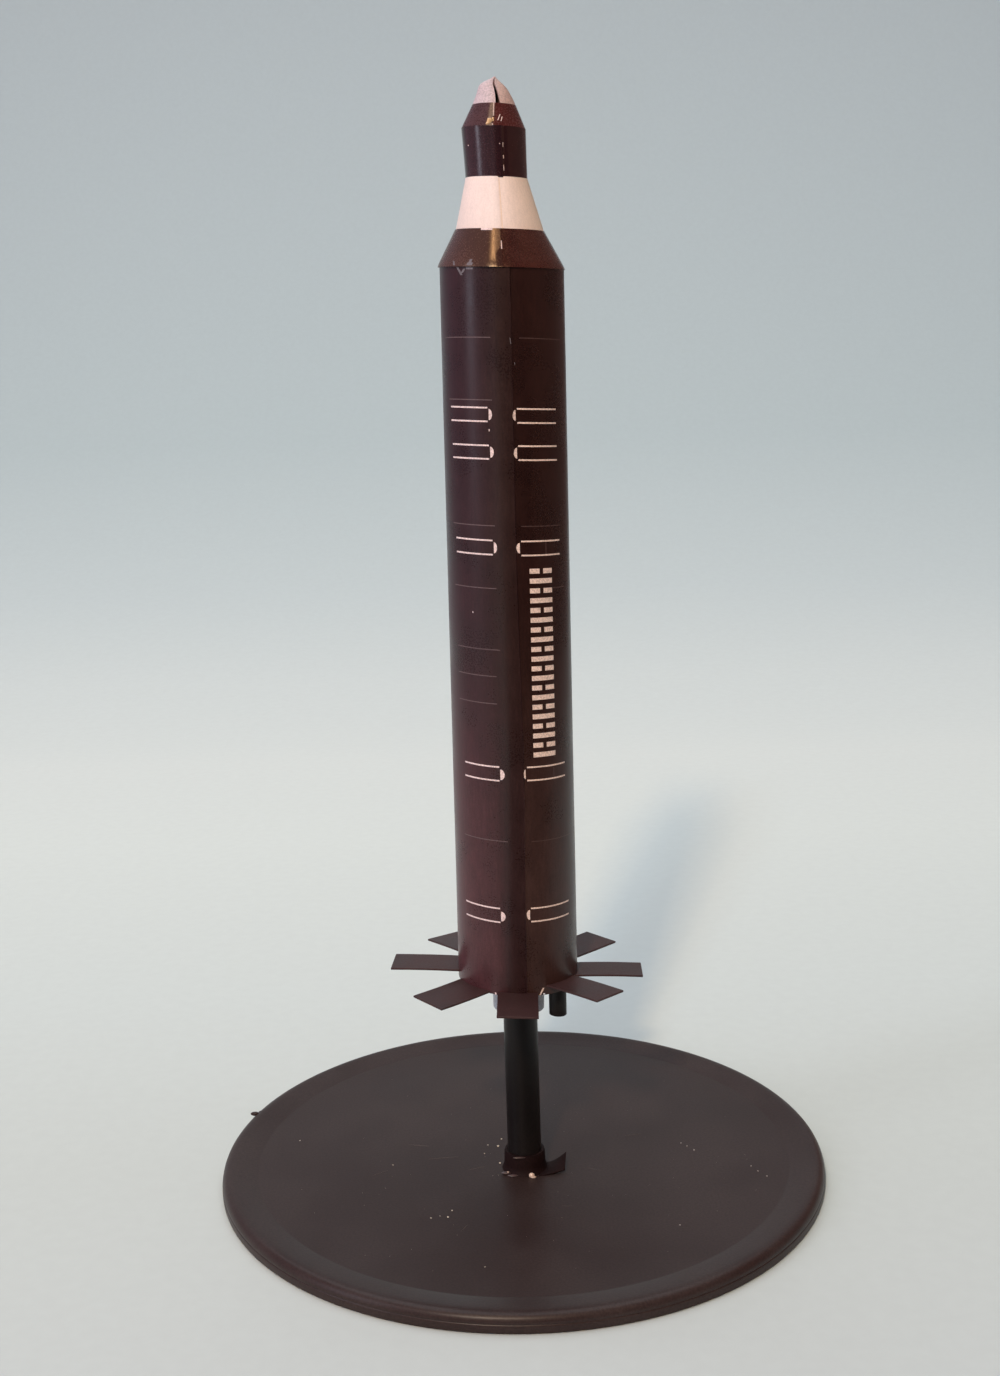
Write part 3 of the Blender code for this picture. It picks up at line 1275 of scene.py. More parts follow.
@dataclass(frozen=True)
class Printing:
    """What is printed on the body: pale windows, a column of plain bars and faint hoops."""

    line: float = 0.30
    hoop: float = 0.17
    # How far marks reach into the card and stand off it, in metres
    depth: float = -0.00002
    rise: float = 0.00002
    faint_rise: float = 0.00001
    # The column's sides in degrees and its ends in millimetres, with what each cell holds
    column: Pair = (18.8, 42.8)
    column_ends: Pair = (93.0, 130.3)
    cells: int = 10
    bar_foot: float = 0.4
    bar_pitch: float = 0.5
    bar_thick: float = 0.95
    bar_gap: float = 3.8
    pane_width: float = 0.9
    # Height, first and last direction
    hoops: tuple[Triple, ...] = (
        (172.2, -68.0, -12.0),
        (172.2, 14.0, 64.0),
        (160.9, -62.0, -12.0),
        (137.75, -60.0, -12.0),
        (137.75, 12.0, 56.0),
        (125.95, -60.0, -12.0),
        (125.95, 43.5, 62.0),
        (114.24, -58.0, -10.0),
        (109.1, -58.0, -14.0),
        (103.8, -58.0, -14.0),
        (76.7, -55.0, -7.0),
        (76.7, 15.0, 70.0),
    )
    # Direction, lowest and highest point
    panes: tuple[Triple, ...] = (
        (36.0, 132.5, 134.8),
        (40.0, 89.0, 91.4),
    )

    def windows(self, material: bpy.types.Material) -> None:
        """Prints the windows.

        Args:
            material: The bare card's finish.
        """
        stencil = Stencil("printed_windows", BODY_SHEET)
        half = self.line / 2
        for window in WINDOWS:
            for height in window.heights:
                stencil.bar(window.lines, (height - half, height + half))
            stencil.half_round(window.flat, window.far, window.ends)
        marks = stencil.wrapped(self.depth, self.rise, STANCE.body())
        marks.finish(material, Slot.WHITE)

    def bars(self, material: bpy.types.Material) -> None:
        """Prints the column: in each cell a whole bar and a broken one.

        Args:
            material: The bare card's finish.
        """
        stencil = Stencil("printed_bars", BODY_SHEET)
        left, right = self.column
        middle = (left + right) / 2
        pitch = (self.column_ends[1] - self.column_ends[0]) / self.cells
        for cell in range(self.cells):
            low = self.column_ends[0] + cell * pitch + self.bar_foot
            high = low + pitch * self.bar_pitch
            stencil.bar((left, right), (low, low + self.bar_thick))
            stencil.bar((left, middle - self.bar_gap / 2), (high, high + self.bar_thick))
            stencil.bar((middle + self.bar_gap / 2, right), (high, high + self.bar_thick))
        marks = stencil.wrapped(self.depth, self.rise, STANCE.body())
        marks.finish(material, Slot.WHITE)

    def lines(self, material: bpy.types.Material) -> None:
        """Prints the faint hoops and panes.

        Args:
            material: The faint print's finish.
        """
        stencil = Stencil("printed_hoops", BODY_SHEET)
        half = self.hoop / 2
        for height, left, right in self.hoops:
            stencil.bar((left, right), (height - half, height + half))
        for direction, low, high in self.panes:
            stencil.bar((direction, direction + self.pane_width), (low, high))
        marks = stencil.wrapped(self.depth, self.faint_rise, STANCE.body())
        marks.finish(material, Slot.PRINTED)


@dataclass(frozen=True)
class Flap:
    """A tail flap: direction in degrees from +X towards +Y, size, height at the tube and bend."""

    direction: float
    reach: float
    width: float
    root_z: float
    bend: float


FLAPS = (
    Flap(-1.6, 0.0253, 0.0074, 0.0467, 1.3),
    Flap(44.8, 0.0257, 0.0083, 0.0468, 1.6),
    Flap(87.0, 0.0253, 0.0082, 0.0468, 0.5),
    Flap(129.4, 0.0251, 0.0082, 0.0471, -3.3),
    Flap(176.0, 0.0256, 0.0083, 0.0471, -1.0),
    Flap(221.0, 0.0238, 0.0088, 0.0456, -3.0),
    Flap(269.0, 0.0252, 0.0080, 0.0458, 1.7),
    Flap(316.0, 0.0246, 0.0080, 0.0471, 2.3),
)


@dataclass(frozen=True)
class Tail:
    """The tail: eight cut flaps, the white ring round the post and the small pipe beside it."""

    radius: float = TAIL_RADIUS
    card: float = 0.0004
    flap_grid: tuple[int, int] = (14, 8)
    flap_edge: float = 0.00006
    # How far a flap's root is sunk in the tube, and how far its card sags, turned about by its number
    root_depth: float = 0.0003
    sag: float = 0.00012
    sag_turn: float = 1.7
    tail_z: float = TAIL_Z
    top: float = 0.0460
    ring_radius: float = 0.0054
    ring_taper: float = 0.0002
    # How much narrower the ring is at a height between its ends
    ring_waist: Pair = (0.0001, 0.0420)
    ring_wall: float = 0.0005
    ring_drop: float = 0.0068
    ring_steps: int = 72
    pipe_radius: float = 0.00178
    pipe_wall: float = 0.0004
    pipe_drop: float = 0.0069
    pipe_steps: int = 48
    pipe_place: Pair = (0.0079, -0.0036)
    rounding: float = 0.00008

    def flaps(self, material: bpy.types.Material) -> None:
        """Makes the eight flaps."""
        for number, flap in enumerate(FLAPS, start=1):
            self.flap(number, flap, material)

    def flap(self, number: int, flap: Flap, material: bpy.types.Material) -> None:
        """Makes one flap, whose root follows the tube.

        Args:
            number: Its number round the tail.
            flap: Its size and place.
            material: Its finish.
        """
        work = Workpiece(f"flap_{number}")
        across, deep = self.flap_grid
        bmesh.ops.create_grid(work.mesh, x_segments=across, y_segments=deep, size=0.5)
        slope = sin(radians(flap.bend))

        def laid(place: Vector) -> Triple:
            """Stretches the flat grid from the tube's side to the flap's end.

            Args:
                place: A point of a grid one unit wide, about its middle.

            Returns:
                The point on the flap, which points to +X.
            """
            share, side = place.x + 0.5, place.y * flap.width
            root = sqrt(self.radius * self.radius - side * side) - self.root_depth
            out = root + share * (flap.reach - root)
            rise = slope * (out - self.radius)
            sag = self.sag * sin(pi * share) * sin(number * self.sag_turn)
            return out, side, flap.root_z + rise + sag

        work.bend(laid)
        bmesh.ops.solidify(work.mesh, geom=work.mesh.faces, thickness=self.card)
        work.outward()
        work.soften(self.flap_edge, segments=1)
        work.move(STANCE.body() @ Matrix.Rotation(radians(flap.direction), 4, "Z"))
        work.finish(material, Slot.BROWN, [f"tail_flap_{number}"])

    def ring(self, material: bpy.types.Material) -> None:
        """Makes the white ring, which narrows downwards.

        Args:
            material: Its finish.
        """
        work = Workpiece("nozzle")
        low = self.tail_z - self.ring_drop
        end = self.ring_radius - self.ring_taper
        section = (
            (self.ring_radius, self.top),
            (self.ring_radius - self.ring_waist[0], self.ring_waist[1]),
            (end, low),
            (end - self.ring_wall, low),
            (self.ring_radius - self.ring_wall, self.top),
        )
        work.turn(section, self.ring_steps)
        work.soften(self.rounding)
        work.move(STANCE.body())
        work.finish(material, Slot.WHITE, ["nozzle_ring"])

    def pipe(self, material: bpy.types.Material) -> None:
        """Makes the small pipe.

        Args:
            material: Its finish.
        """
        work = Workpiece("small_pipe")
        low, inner = self.tail_z - self.pipe_drop, self.pipe_radius - self.pipe_wall
        section = (
            (self.pipe_radius, self.top),
            (self.pipe_radius, low),
            (inner, low),
            (inner, self.top),
        )
        work.turn(section, self.pipe_steps)
        work.soften(self.rounding)
        work.move(STANCE.body() @ Matrix.Translation((*self.pipe_place, 0.0)))
        work.finish(material, Slot.BLACK, ["side_pipe"])


@dataclass(frozen=True)
class Tip:
    """The white tip: a cone pinched flat towards the top, with its seam open at the front."""

    bottom: float = 0.2142
    top: float = 0.2193
    radius: float = 0.00404
    wall: float = 0.0003
    least_radius: float = 0.00003
    merge: float = 1e-6
    opening: Pair = (4.0, 17.0)
    # Share of the height, then half the depth and the left and right side as shares of the radius
    rows: tuple[tuple[float, float, float, float], ...] = (
        (0.0, 1.0, -1.0, 1.0),
        (0.14, 0.87, -0.92, 0.93),
        (0.28, 0.74, -0.84, 0.85),
        (0.42, 0.61, -0.77, 0.76),
        (0.56, 0.47, -0.71, 0.66),
        (0.66, 0.37, -0.66, 0.56),
        (0.74, 0.29, -0.58, 0.46),
        (0.80, 0.23, -0.47, 0.37),
        (0.86, 0.17, -0.31, 0.28),
        (0.93, 0.10, -0.12, 0.19),
        (1.0, 0.04, 0.03, 0.12),
    )
    steps: int = 72

    def build(self, material: bpy.types.Material) -> None:
        """Makes the tip.

        Args:
            material: Its finish.
        """
        work = Workpiece("pinched_tip")
        mesh = work.mesh
        heights = [self.bottom + row[0] * (self.top - self.bottom) for row in self.rows]
        depths, lefts, rights = (
            [(height, row[column]) for height, row in zip(heights, self.rows)]
            for column in (1, 2, 3)
        )
        outer = [(self.radius * depth, height) for height, depth in depths]
        section = [*outer, (0.0, self.top), (0.0, self.top - 2 * self.wall)]
        for radius, height in reversed(outer[:-1]):
            under = self.wall if height > self.bottom else 0.0
            section.append((max(radius - self.wall, self.least_radius), height - under))
        start, end = radians(self.opening[1]), radians(FULL_TURN + self.opening[0])
        verts, edges = work.profile(section, start, closed=True)
        last = work.spin(verts + edges, end - start, self.steps, merge=False)
        for loop in (edges, of_kind(last, bmesh.types.BMEdge)):
            bmesh.ops.contextual_create(mesh, geom=loop)
        bmesh.ops.remove_doubles(mesh, verts=mesh.verts, dist=self.merge)

        def pinched(place: Vector) -> Triple:
            """Moves a point of the round tip to the pinched one.

            Args:
                place: The point on the round tip.

            Returns:
                The point with its sides drawn in or out.
            """
            left, right = along(lefts, place.z), along(rights, place.z)
            across = place.x / along(depths, place.z)
            return self.radius * (left + right) / 2 + across * (right - left) / 2, place.y, place.z

        work.bend(pinched)
        work.outward()
        work.move(STANCE.nose())
        work.finish(material, Slot.WHITE, ["nose_tip"])


class Bare(Enum):
    """How a spot without print looks: clean card, or card that was rubbed grey. Some such spots are
    painted glints.
    """

    PALE = "pale"
    SCUFF = "scuff"


@dataclass(frozen=True)
class Mark:
    """A small bar: first and last direction in degrees, lowest and highest point in mm, lean."""

    sides: Pair
    ends: Pair
    lean: float = 0.0


@dataclass(frozen=True)
class Patch:
    """Small slivers of bare card that lie together on one sheet; some are painted glints."""

    name: str
    sheet: RolledSheet
    on_nose: bool
    marks: tuple[Mark, ...]
    depth: float = -0.00003
    high: float = 0.00005
    look: Bare = Bare.PALE

    def lay(self, finishes: dict[Bare, bpy.types.Material]) -> None:
        """Lays the slivers on their sheet.

        Args:
            finishes: The finish for each look.
        """
        stencil = Stencil(self.name, self.sheet)
        for mark in self.marks:
            stencil.bar(mark.sides, mark.ends, mark.lean)
        stance = STANCE.nose() if self.on_nose else STANCE.body()
        slivers = stencil.wrapped(self.depth, self.high, stance)
        slivers.finish(finishes[self.look], Slot.WHITE)


PATCHES = (
    Patch(
        "nose_slivers",
        NOSE_SHEET,
        True,
        (
            Mark((-1.8, 0.4), (211.9, 214.35)),
            Mark((9.5, 11.0), (211.1, 212.2), 5.0),
            Mark((14.5, 16.0), (211.0, 211.8), 3.0),
            Mark((-3.0, -1.0), (210.2, 210.5)),
        ),
        high=0.00010,
    ),
    Patch(
        "sleeve_dashes_and_glints",
        UPPER_SHEET,
        True,
        (
            Mark((14.3, 15.1), (206.5, 207.3)),
            Mark((14.1, 14.9), (204.5, 205.1)),
            Mark((13.6, 14.5), (202.4, 203.4)),
            # Painted glints near the top of the sleeve
            Mark((8.0, 9.4), (206.95, 207.15)),
            Mark((-56.0, -54.2), (206.75, 206.95)),
        ),
    ),
    Patch(
        "shoulder_chips_and_glint",
        SHOULDER_SHEET,
        True,
        (
            Mark((-24.0, -9.0), (191.75, 192.1)),
            # A painted glint on the seam
            Mark((0.2, 1.4), (188.4, 189.9)),
        ),
    ),
    Patch(
        "shoulder_scuffs",
        SHOULDER_SHEET,
        True,
        (
            Mark((-48.8, -46.6), (185.4, 186.2), -2.5),
            Mark((-32.0, -26.5), (185.4, 185.9), 1.0),
            Mark((-30.2, -27.6), (185.9, 186.5), 0.8),
        ),
        look=Bare.SCUFF,
    ),
    Patch(
        "body_scuffs_and_glints",
        BODY_SHEET,
        False,
        (
            Mark((-43.2, -40.6), (183.6, 185.15), -5.0),
            Mark((-38.6, -36.2), (184.0, 184.8), 3.0),
            Mark((-34.0, -27.0), (184.7, 185.1), 0.0),
            # Painted glints on the seam
            Mark((5.4, 6.0), (171.1, 172.2), -0.6),
            Mark((9.0, 9.5), (167.3, 167.8)),
        ),
        look=Bare.SCUFF,
    ),
    Patch(
        "body_chips",
        BODY_SHEET,
        False,
        (
            Mark((-15.6, -14.8), (155.2, 155.6)),
            Mark((-36.6, -35.8), (121.0, 121.3)),
            Mark((-20.0, -8.5), (45.2, 45.62)),
            Mark((-23.0, -21.5), (45.1, 45.5)),
            Mark((21.0, 22.6), (45.2, 46.6), 3.5),
        ),
    ),
)


@dataclass(frozen=True)
class Bead:
    """A drop of glue: middle and size in mm, in the part's own frame."""

    middle: Triple
    size: Triple


def on_sheet(
    sheet: RolledSheet, stance: Matrix, direction: float, height: float, size: Triple
) -> Bead:
    """A drop that sits on a rolled sheet.

    Args:
        sheet: The sheet.
        stance: The sheet's place.
        direction: Degrees from the front.
        height: Height in millimetres.
        size: The drop's size in millimetres.

    Returns:
        The drop.
    """
    place = stance @ sheet.at(direction, height * MM)
    return Bead((place.x / MM, place.y / MM, place.z / MM), size)


NOSE_GLUE = (
    on_sheet(NOSE_SHEET, STANCE.nose(), -7.5, 210.95, (0.95, 0.45, 1.1)),
    on_sheet(NOSE_SHEET, STANCE.nose(), -10.5, 210.5, (0.7, 0.3, 0.5)),
    on_sheet(NOSE_SHEET, STANCE.nose(), -1.5, 211.2, (0.4, 0.3, 1.0)),
)

FOOT_GLUE = (
    Bead((1.62, -11.75, 3.05), (1.25, 1.1, 1.1)),
    Bead((1.95, -12.1, 2.85), (1.2, 0.8, 0.5)),
    Bead((-3.25, -10.6, 3.3), (0.45, 0.35, 0.35)),
)

FOOT_SMEAR = (
    Bead((-0.9, -11.15, 6.72), (2.6, 0.5, 0.35)),
    Bead((-3.6, -10.3, 3.0), (2.2, 1.0, 0.5)),
    Bead((-2.2, -11.2, 2.85), (2.4, 0.9, 0.35)),
)

# Glue dabs at the foot of the tube; their pale bluish grey colour paints their glints
TAIL_GLUE_GLINTS = (
    on_sheet(BODY_SHEET, STANCE.body(), -17.0, 45.25, (1.2, 0.4, 0.35)),
    on_sheet(BODY_SHEET, STANCE.body(), -11.0, 45.2, (0.8, 0.35, 0.3)),
    on_sheet(BODY_SHEET, STANCE.body(), 24.0, 45.3, (0.5, 0.3, 0.35)),
)

RIM_BURRS = (
    Bead((-60.2, 19.7, 3.25), (2.0, 1.1, 0.9)),
    Bead((-59.0, 20.6, 3.2), (1.0, 0.8, 0.5)),
    Bead((-57.7, 21.4, 2.95), (0.9, 0.6, 0.35)),
)


@dataclass(frozen=True)
class Beads:
    """A group of drops or burrs that end up as one piece."""

    name: str
    drops: tuple[Bead, ...]
    facets: tuple[int, int] = (20, 12)
    swell: float = 0.0004
    ripples: Pair = (9.0, 7.0)

    def build(self, material: bpy.types.Material, slot: Slot = Slot.WHITE) -> None:
        """Makes the drops, each a little uneven.

        Args:
            material: Their finish.
            slot: Passed on to finish, which reads only whether it is None.
        """
        work = Workpiece(self.name)
        around, up = self.facets
        for drop in self.drops:
            half = (side * MM / 2 for side in drop.size)
            shape = Matrix.Translation(Vector(drop.middle) * MM) @ Matrix.Diagonal((*half, 1.0))
            bmesh.ops.create_uvsphere(
                work.mesh, u_segments=around, v_segments=up, radius=1.0, matrix=shape
            )

        def rippled(place: Vector) -> Vector:
            """A point shifted a little by ripples along X and Z."""
            phase = place.x / MM * self.ripples[0] + place.z / MM * self.ripples[1]
            return place * (1.0 + self.swell * sin(phase))

        work.bend(rippled)
        work.finish(material, slot, crease=80.0)


@dataclass(frozen=True)
class Speck:
    """A speck on the base: place in mm, width in mm."""

    x: float
    y: float
    size: float


# Fine dust strands: middle in mm, length in mm, direction in degrees from +X towards +Y
STRANDS = (
    (-17.0, -2.5, 7.0, 8.0),
    (-22.5, 3.5, 5.0, -12.0),
    (-9.8, -7.4, 4.2, 22.0),
    (-30.0, -8.5, 4.0, 35.0),
    (14.5, -9.0, 3.6, -28.0),
    (24.0, 6.0, 4.4, 12.0),
    (-12.0, -31.5, 3.0, 60.0),
    (8.5, -24.0, 2.6, -5.0),
)

SPECKS = (
    Speck(-14.56, -24.66, 0.34),
    Speck(-15.29, -27.15, 0.40),
    Speck(-18.64, -27.38, 0.30),
    Speck(-16.88, -26.69, 0.22),
    Speck(-5.32, 2.29, 0.55),
    Speck(-4.55, 5.51, 0.36),
    Speck(-7.48, 2.87, 0.28),
    Speck(-8.22, -0.98, 0.26),
    Speck(-3.21, -1.92, 0.24),
    Speck(-4.93, -5.39, 0.42),
    Speck(-27.5, -5.11, 0.26),
    Speck(-48.56, 7.09, 0.30),
    Speck(34.03, 1.6, 0.28),
    Speck(35.15, 0.16, 0.26),
    Speck(36.42, -1.73, 0.30),
    Speck(47.34, -9.39, 0.26),
    Speck(48.44, -11.6, 0.30),
    Speck(49.93, -13.81, 0.26),
    Speck(56.75, -2.34, 0.26),
    Speck(-7.9, -45.69, 0.26),
    Speck(29.9, -32.37, 0.26),
)


@dataclass(frozen=True)
class Crumbs:
    """Paper crumbs and dust that lie on the base."""

    floor: float = 2.70
    loose: int = 90
    reach: float = 51.0
    swell: float = 1.35
    strand: float = 0.035
    dust_size: Pair = (0.06, 0.13)
    # Half the breadth, from least to most, and half the height, as shares of a crumb's width
    breadth: Pair = (0.25, 0.45)
    height: float = 0.22

    def place(self, x: float, y: float, turn: float, half: Triple) -> Matrix:
        """Where a ball goes and how it is stretched to lie on the base.

        Args:
            x: Its place to +X, in millimetres.
            y: Its place to +Y, in millimetres.
            turn: Its direction, in radians from +X towards +Y.
            half: Half its length, breadth and height, in millimetres.

        Returns:
            The transform of a ball of radius 1.
        """
        return (
            Matrix.Translation((x * MM, y * MM, self.floor * MM))
            @ Matrix.Rotation(turn, 4, "Z")
            @ Matrix.Diagonal((*(side * MM for side in half), 1.0))
        )

    def build(self, material: bpy.types.Material) -> None:
        """Scatters the crumbs that show in the photograph, and fine dust.

        Args:
            material: Their finish.
        """
        work = Workpiece("base_crumbs")
        draw = random.Random(SEED)
        places = [(speck.x, speck.y, speck.size * self.swell) for speck in SPECKS]
        for _ in range(self.loose):
            turn, far = draw.uniform(0.0, 2 * pi), self.reach * sqrt(draw.random())
            places.append((far * cos(turn), far * sin(turn), draw.uniform(*self.dust_size)))
        for x, y, size in places:
            turn, breadth = draw.uniform(0.0, pi), draw.uniform(*self.breadth)
            shape = self.place(x, y, turn, (size / 2, size * breadth, size * self.height))
            bmesh.ops.create_icosphere(work.mesh, subdivisions=1, radius=1.0, matrix=shape)
        work.finish(material, Slot.WHITE, crease=80.0)

    def strands(self, material: bpy.types.Material) -> None:
        """Lays the fine dust strands.

        Args:
            material: Their finish.
        """
        work = Workpiece("base_strands")
        for x, y, length, direction in STRANDS:
            shape = self.place(x, y, radians(direction), (length / 2, self.strand, self.strand))
            bmesh.ops.create_icosphere(work.mesh, subdivisions=2, radius=1.0, matrix=shape)
        work.finish(material, Slot.WHITE, crease=80.0)


@dataclass(frozen=True)
class Lamp:
    """A soft light: direction it comes from, in degrees left of the camera and above the floor."""

    name: str
    left: float
    above: float
    far: float
    size: Pair
    radiance: float
    colour: Triple
    aim: Triple = (0.0, 0.0, 0.11)
    gloss_only: bool = False

    def hang(self) -> None:
        """Hangs the lamp."""
        turn, lift = radians(self.left), radians(self.above)
        back = Vector((-sin(turn) * cos(lift), -cos(turn) * cos(lift), sin(lift)))
        data = bpy.data.lights.new(self.name, "AREA")
        data.shape = "RECTANGLE"
        data.size, data.size_y = self.size
        data.energy = self.radiance * self.size[0] * self.size[1] * pi
        data.color = self.colour
        made = bpy.data.objects.new(self.name, data)
        made.location = Vector(self.aim) + back * self.far
        made.rotation_mode = "QUATERNION"
        made.rotation_quaternion = back.to_track_quat("Z", "Y")
        made.visible_diffuse = not self.gloss_only
        bpy.context.scene.collection.objects.link(made)


LAMPS = (
    Lamp("warm_key", 13.2, 35.7, 1.5, (0.10, 0.10), 320.0, (1.0, 0.70, 0.43)),
    Lamp("cool_key", 16.4, 35.7, 1.5, (0.10, 0.10), 112.0, (0.72, 0.86, 1.0)),
    Lamp(
        "cone_key",
        17.0,
        57.3,
        1.5,
        (0.10, 0.10),
        70.0,
        (1.0, 0.70, 0.44),
        aim=(0.0, 0.0, 0.1885),
        gloss_only=True,
    ),
    Lamp("window", 62.0, 21.0, 1.2, (0.24, 0.8), 4.4, (0.86, 0.86, 1.0)),
    Lamp("top", 180.0, 74.0, 1.6, (1.8, 1.8), 1.7, (0.94, 0.98, 1.0)),
)


@dataclass(frozen=True)
class Flag:
    """A sheet that shows only in the gloss, to paint a reflection there: middle, size, turn from lying
    flat, and colour.
    """

    name: str
    middle: Triple
    size: Pair
    turn: float
    colour: Colour

    def hang(self) -> None:
        """Hangs the sheet."""
        work = Workpiece(self.name)
        bmesh.ops.create_grid(
            work.mesh,
            x_segments=2,
            y_segments=2,
            size=0.5,
            matrix=Matrix.Translation(self.middle)
            @ Matrix.Rotation(radians(self.turn), 4, "Y")
            @ Matrix.Diagonal((*self.size, 1.0, 1.0)),
        )
        finish = PlasticFinish(self.name, self.colour, roughness=0.9, dust_share=0.0)
        made = work.finish(finish.material(), None)
        made.visible_camera = False
        made.visible_diffuse = False
        made.visible_shadow = False
        made.visible_transmission = False


# Painted reflections: a dark sheet on the floor in front paints the shade that the glossy card
# reflects there; a brown card to the right paints the dim reflection on the right side
FLAGS = (
    Flag("painted_shade_flag", (0.565, -0.795, 0.0004), (1.27, 1.41), 0.0, (0.05, 0.035, 0.03, 1.0)),
    Flag("painted_reflection_card", (0.38, 0.30, 0.40), (0.78, 1.30), 90.0, (0.30, 0.18, 0.155, 1.0)),
)


@dataclass(frozen=True)
class Studio:
    """The floor and backdrop, the lamps, the room's own light and the camera."""

    eye: Triple = (-0.0024642, -0.3173937, 0.1634699)
    pitch: float = 10.6986
    roll: float = -1.4100
    lens: float = 41.773
    sensor: float = 36.0
    floor_front: float = -1.25
    floor_back: float = 0.42
    curve: float = 0.70
    curve_end: float = 86.0
    half_width: float = 1.35
    curve_steps: int = 24
    below_base: float = 0.00002
    clip: Pair = (0.01, 20.0)
    wall_rows: tuple[float, float, float, float] = (0.10, -0.75, 0.08, 0.42)
    room_colour: Colour = (0.95, 0.84, 1.0, 1.0)
    beyond: Colour = (0.46, 0.51, 0.52, 1.0)

    def sweep(self) -> None:
        """Makes the floor that curves up into the backdrop."""
        work = Workpiece("studio_sweep")
        points = [(0.0, self.floor_front, 0.0), (0.0, self.floor_back, 0.0)]
        for step in range(1, self.curve_steps + 1):
            turn = step / self.curve_steps * radians(self.curve_end)
            points.append(
                (0.0, self.floor_back + self.curve * sin(turn), self.curve * (1.0 - cos(turn)))
            )
        verts, edges = work.line(points, closed=False)
        start = (-self.half_width, 0.0, -self.below_base)
        bmesh.ops.translate(work.mesh, vec=start, verts=verts)
        made = bmesh.ops.extrude_edge_only(work.mesh, edges=edges)
        moved = of_kind(made["geom"], bmesh.types.BMVert)
        bmesh.ops.translate(work.mesh, vec=(2 * self.half_width, 0.0, 0.0), verts=moved)
        work.finish(SweepFinish().material(), None, crease=60.0)

    def room(self) -> None:
        """Lights the room dimly, with a paler wall to the left; beyond the paper it looks plain."""
        world = bpy.data.worlds.new("room")
        world.use_nodes = True
        tree = world.node_tree
        shade, output = tree.nodes["Background"], tree.nodes["World Output"]
        place = tree.nodes.new("ShaderNodeTexCoord")
        split = tree.nodes.new("ShaderNodeSeparateXYZ")
        level = tree.nodes.new("ShaderNodeMapRange")
        level.interpolation_type = "SMOOTHSTEP"
        tree.links.new(place.outputs["Generated"], split.inputs[0])
        tree.links.new(split.outputs["X"], level.inputs[0])
        for socket, value in zip(level.inputs[1:5], self.wall_rows):
            socket.default_value = value
        tree.links.new(level.outputs[0], shade.inputs["Strength"])
        shade.inputs["Color"].default_value = self.room_colour
        plain = tree.nodes.new("ShaderNodeBackground")
        plain.inputs["Color"].default_value = self.beyond
        path = tree.nodes.new("ShaderNodeLightPath")
        mixed = tree.nodes.new("ShaderNodeMixShader")
        tree.links.new(path.outputs["Is Camera Ray"], mixed.inputs[0])
        tree.links.new(shade.outputs[0], mixed.inputs[1])
        tree.links.new(plain.outputs[0], mixed.inputs[2])
        tree.links.new(mixed.outputs[0], output.inputs["Surface"])
        bpy.context.scene.world = world

    def camera(self) -> None:
        """Sets the camera at the photograph's place."""
        turn, tilt = radians(self.pitch), radians(self.roll)
        ahead = Vector((0.0, cos(turn), -sin(turn)))
        right = Vector((1.0, 0.0, 0.0))
        up = right.cross(ahead)
        across = cos(tilt) * right + sin(tilt) * up
        rise = cos(tilt) * up - sin(tilt) * right
        data = bpy.data.cameras.new("camera")
        data.lens = self.lens
        data.sensor_width = self.sensor
        data.clip_start, data.clip_end = self.clip
        made = bpy.data.objects.new("camera", data)
        place = Matrix((across, rise, -ahead)).transposed().to_4x4()
        place.translation = self.eye
        made.matrix_world = place
        bpy.context.scene.collection.objects.link(made)
        bpy.context.scene.camera = made

    def build(self) -> None:
        """Sets up the whole studio."""
        self.sweep()
        for flag in FLAGS:
            flag.hang()
        self.room()
        self.camera()
        for lamp in LAMPS:
            lamp.hang()
        bpy.context.scene.view_settings.view_transform = "Standard"


# The zones paint light and shade: lighter and more purple on the left under the window, darker on the
# shaded right, browner by the seam for the reflection there
PRINTED = CardFinish(
    "printed_card",
    zones=(
        (0.0, (0.021, 0.0055, 0.0035, 1.0)),
        (0.22, (0.022, 0.0060, 0.0045, 1.0)),
        (0.45, (0.028, 0.0085, 0.0110, 1.0)),
        (0.75, (0.034, 0.0085, 0.0150, 1.0)),
        (0.925, (0.026, 0.0080, 0.0095, 1.0)),
        (0.957, (0.025, 0.0090, 0.0078, 1.0)),
        (1.0, (0.025, 0.0092, 0.0074, 1.0)),
    ),
    # Painted reflection of the pale floor on the lower body
    floor_reflection_zones=(
        (0.0, (0.048, 0.0220, 0.0180, 1.0)),
        (0.22, (0.050, 0.0220, 0.0190, 1.0)),
        (0.45, (0.055, 0.0200, 0.0220, 1.0)),
        (0.75, (0.095, 0.0330, 0.0400, 1.0)),
        (0.925, (0.062, 0.0220, 0.0250, 1.0)),
        (0.957, (0.028, 0.0100, 0.0105, 1.0)),
        (1.0, (0.028, 0.0105, 0.0105, 1.0)),
    ),
    reflection_fade=(0.055, 0.13),
    cut_share=0.02,
    roughness=0.28,
    specular=0.34,
)

SLEEVE = CardFinish(
    "sleeve_card",
    zones=(
        (0.0, (0.024, 0.0058, 0.0060, 1.0)),
        (0.45, (0.026, 0.0070, 0.0090, 1.0)),
        (0.80, (0.032, 0.0085, 0.0125, 1.0)),
        (1.0, (0.023, 0.0060, 0.0080, 1.0)),
    ),
    cut_share=0.6,
    roughness=0.16,
    specular=0.52,
    mottle=0.10,
)

BROWN = CardFinish(
    "brown_card",
    zones=(
        (0.0, (0.050, 0.0225, 0.0225, 1.0)),
        (0.5, (0.050, 0.0225, 0.0225, 1.0)),
        (1.0, (0.050, 0.0225, 0.0225, 1.0)),
    ),
    roughness=0.42,
    specular=0.35,
)

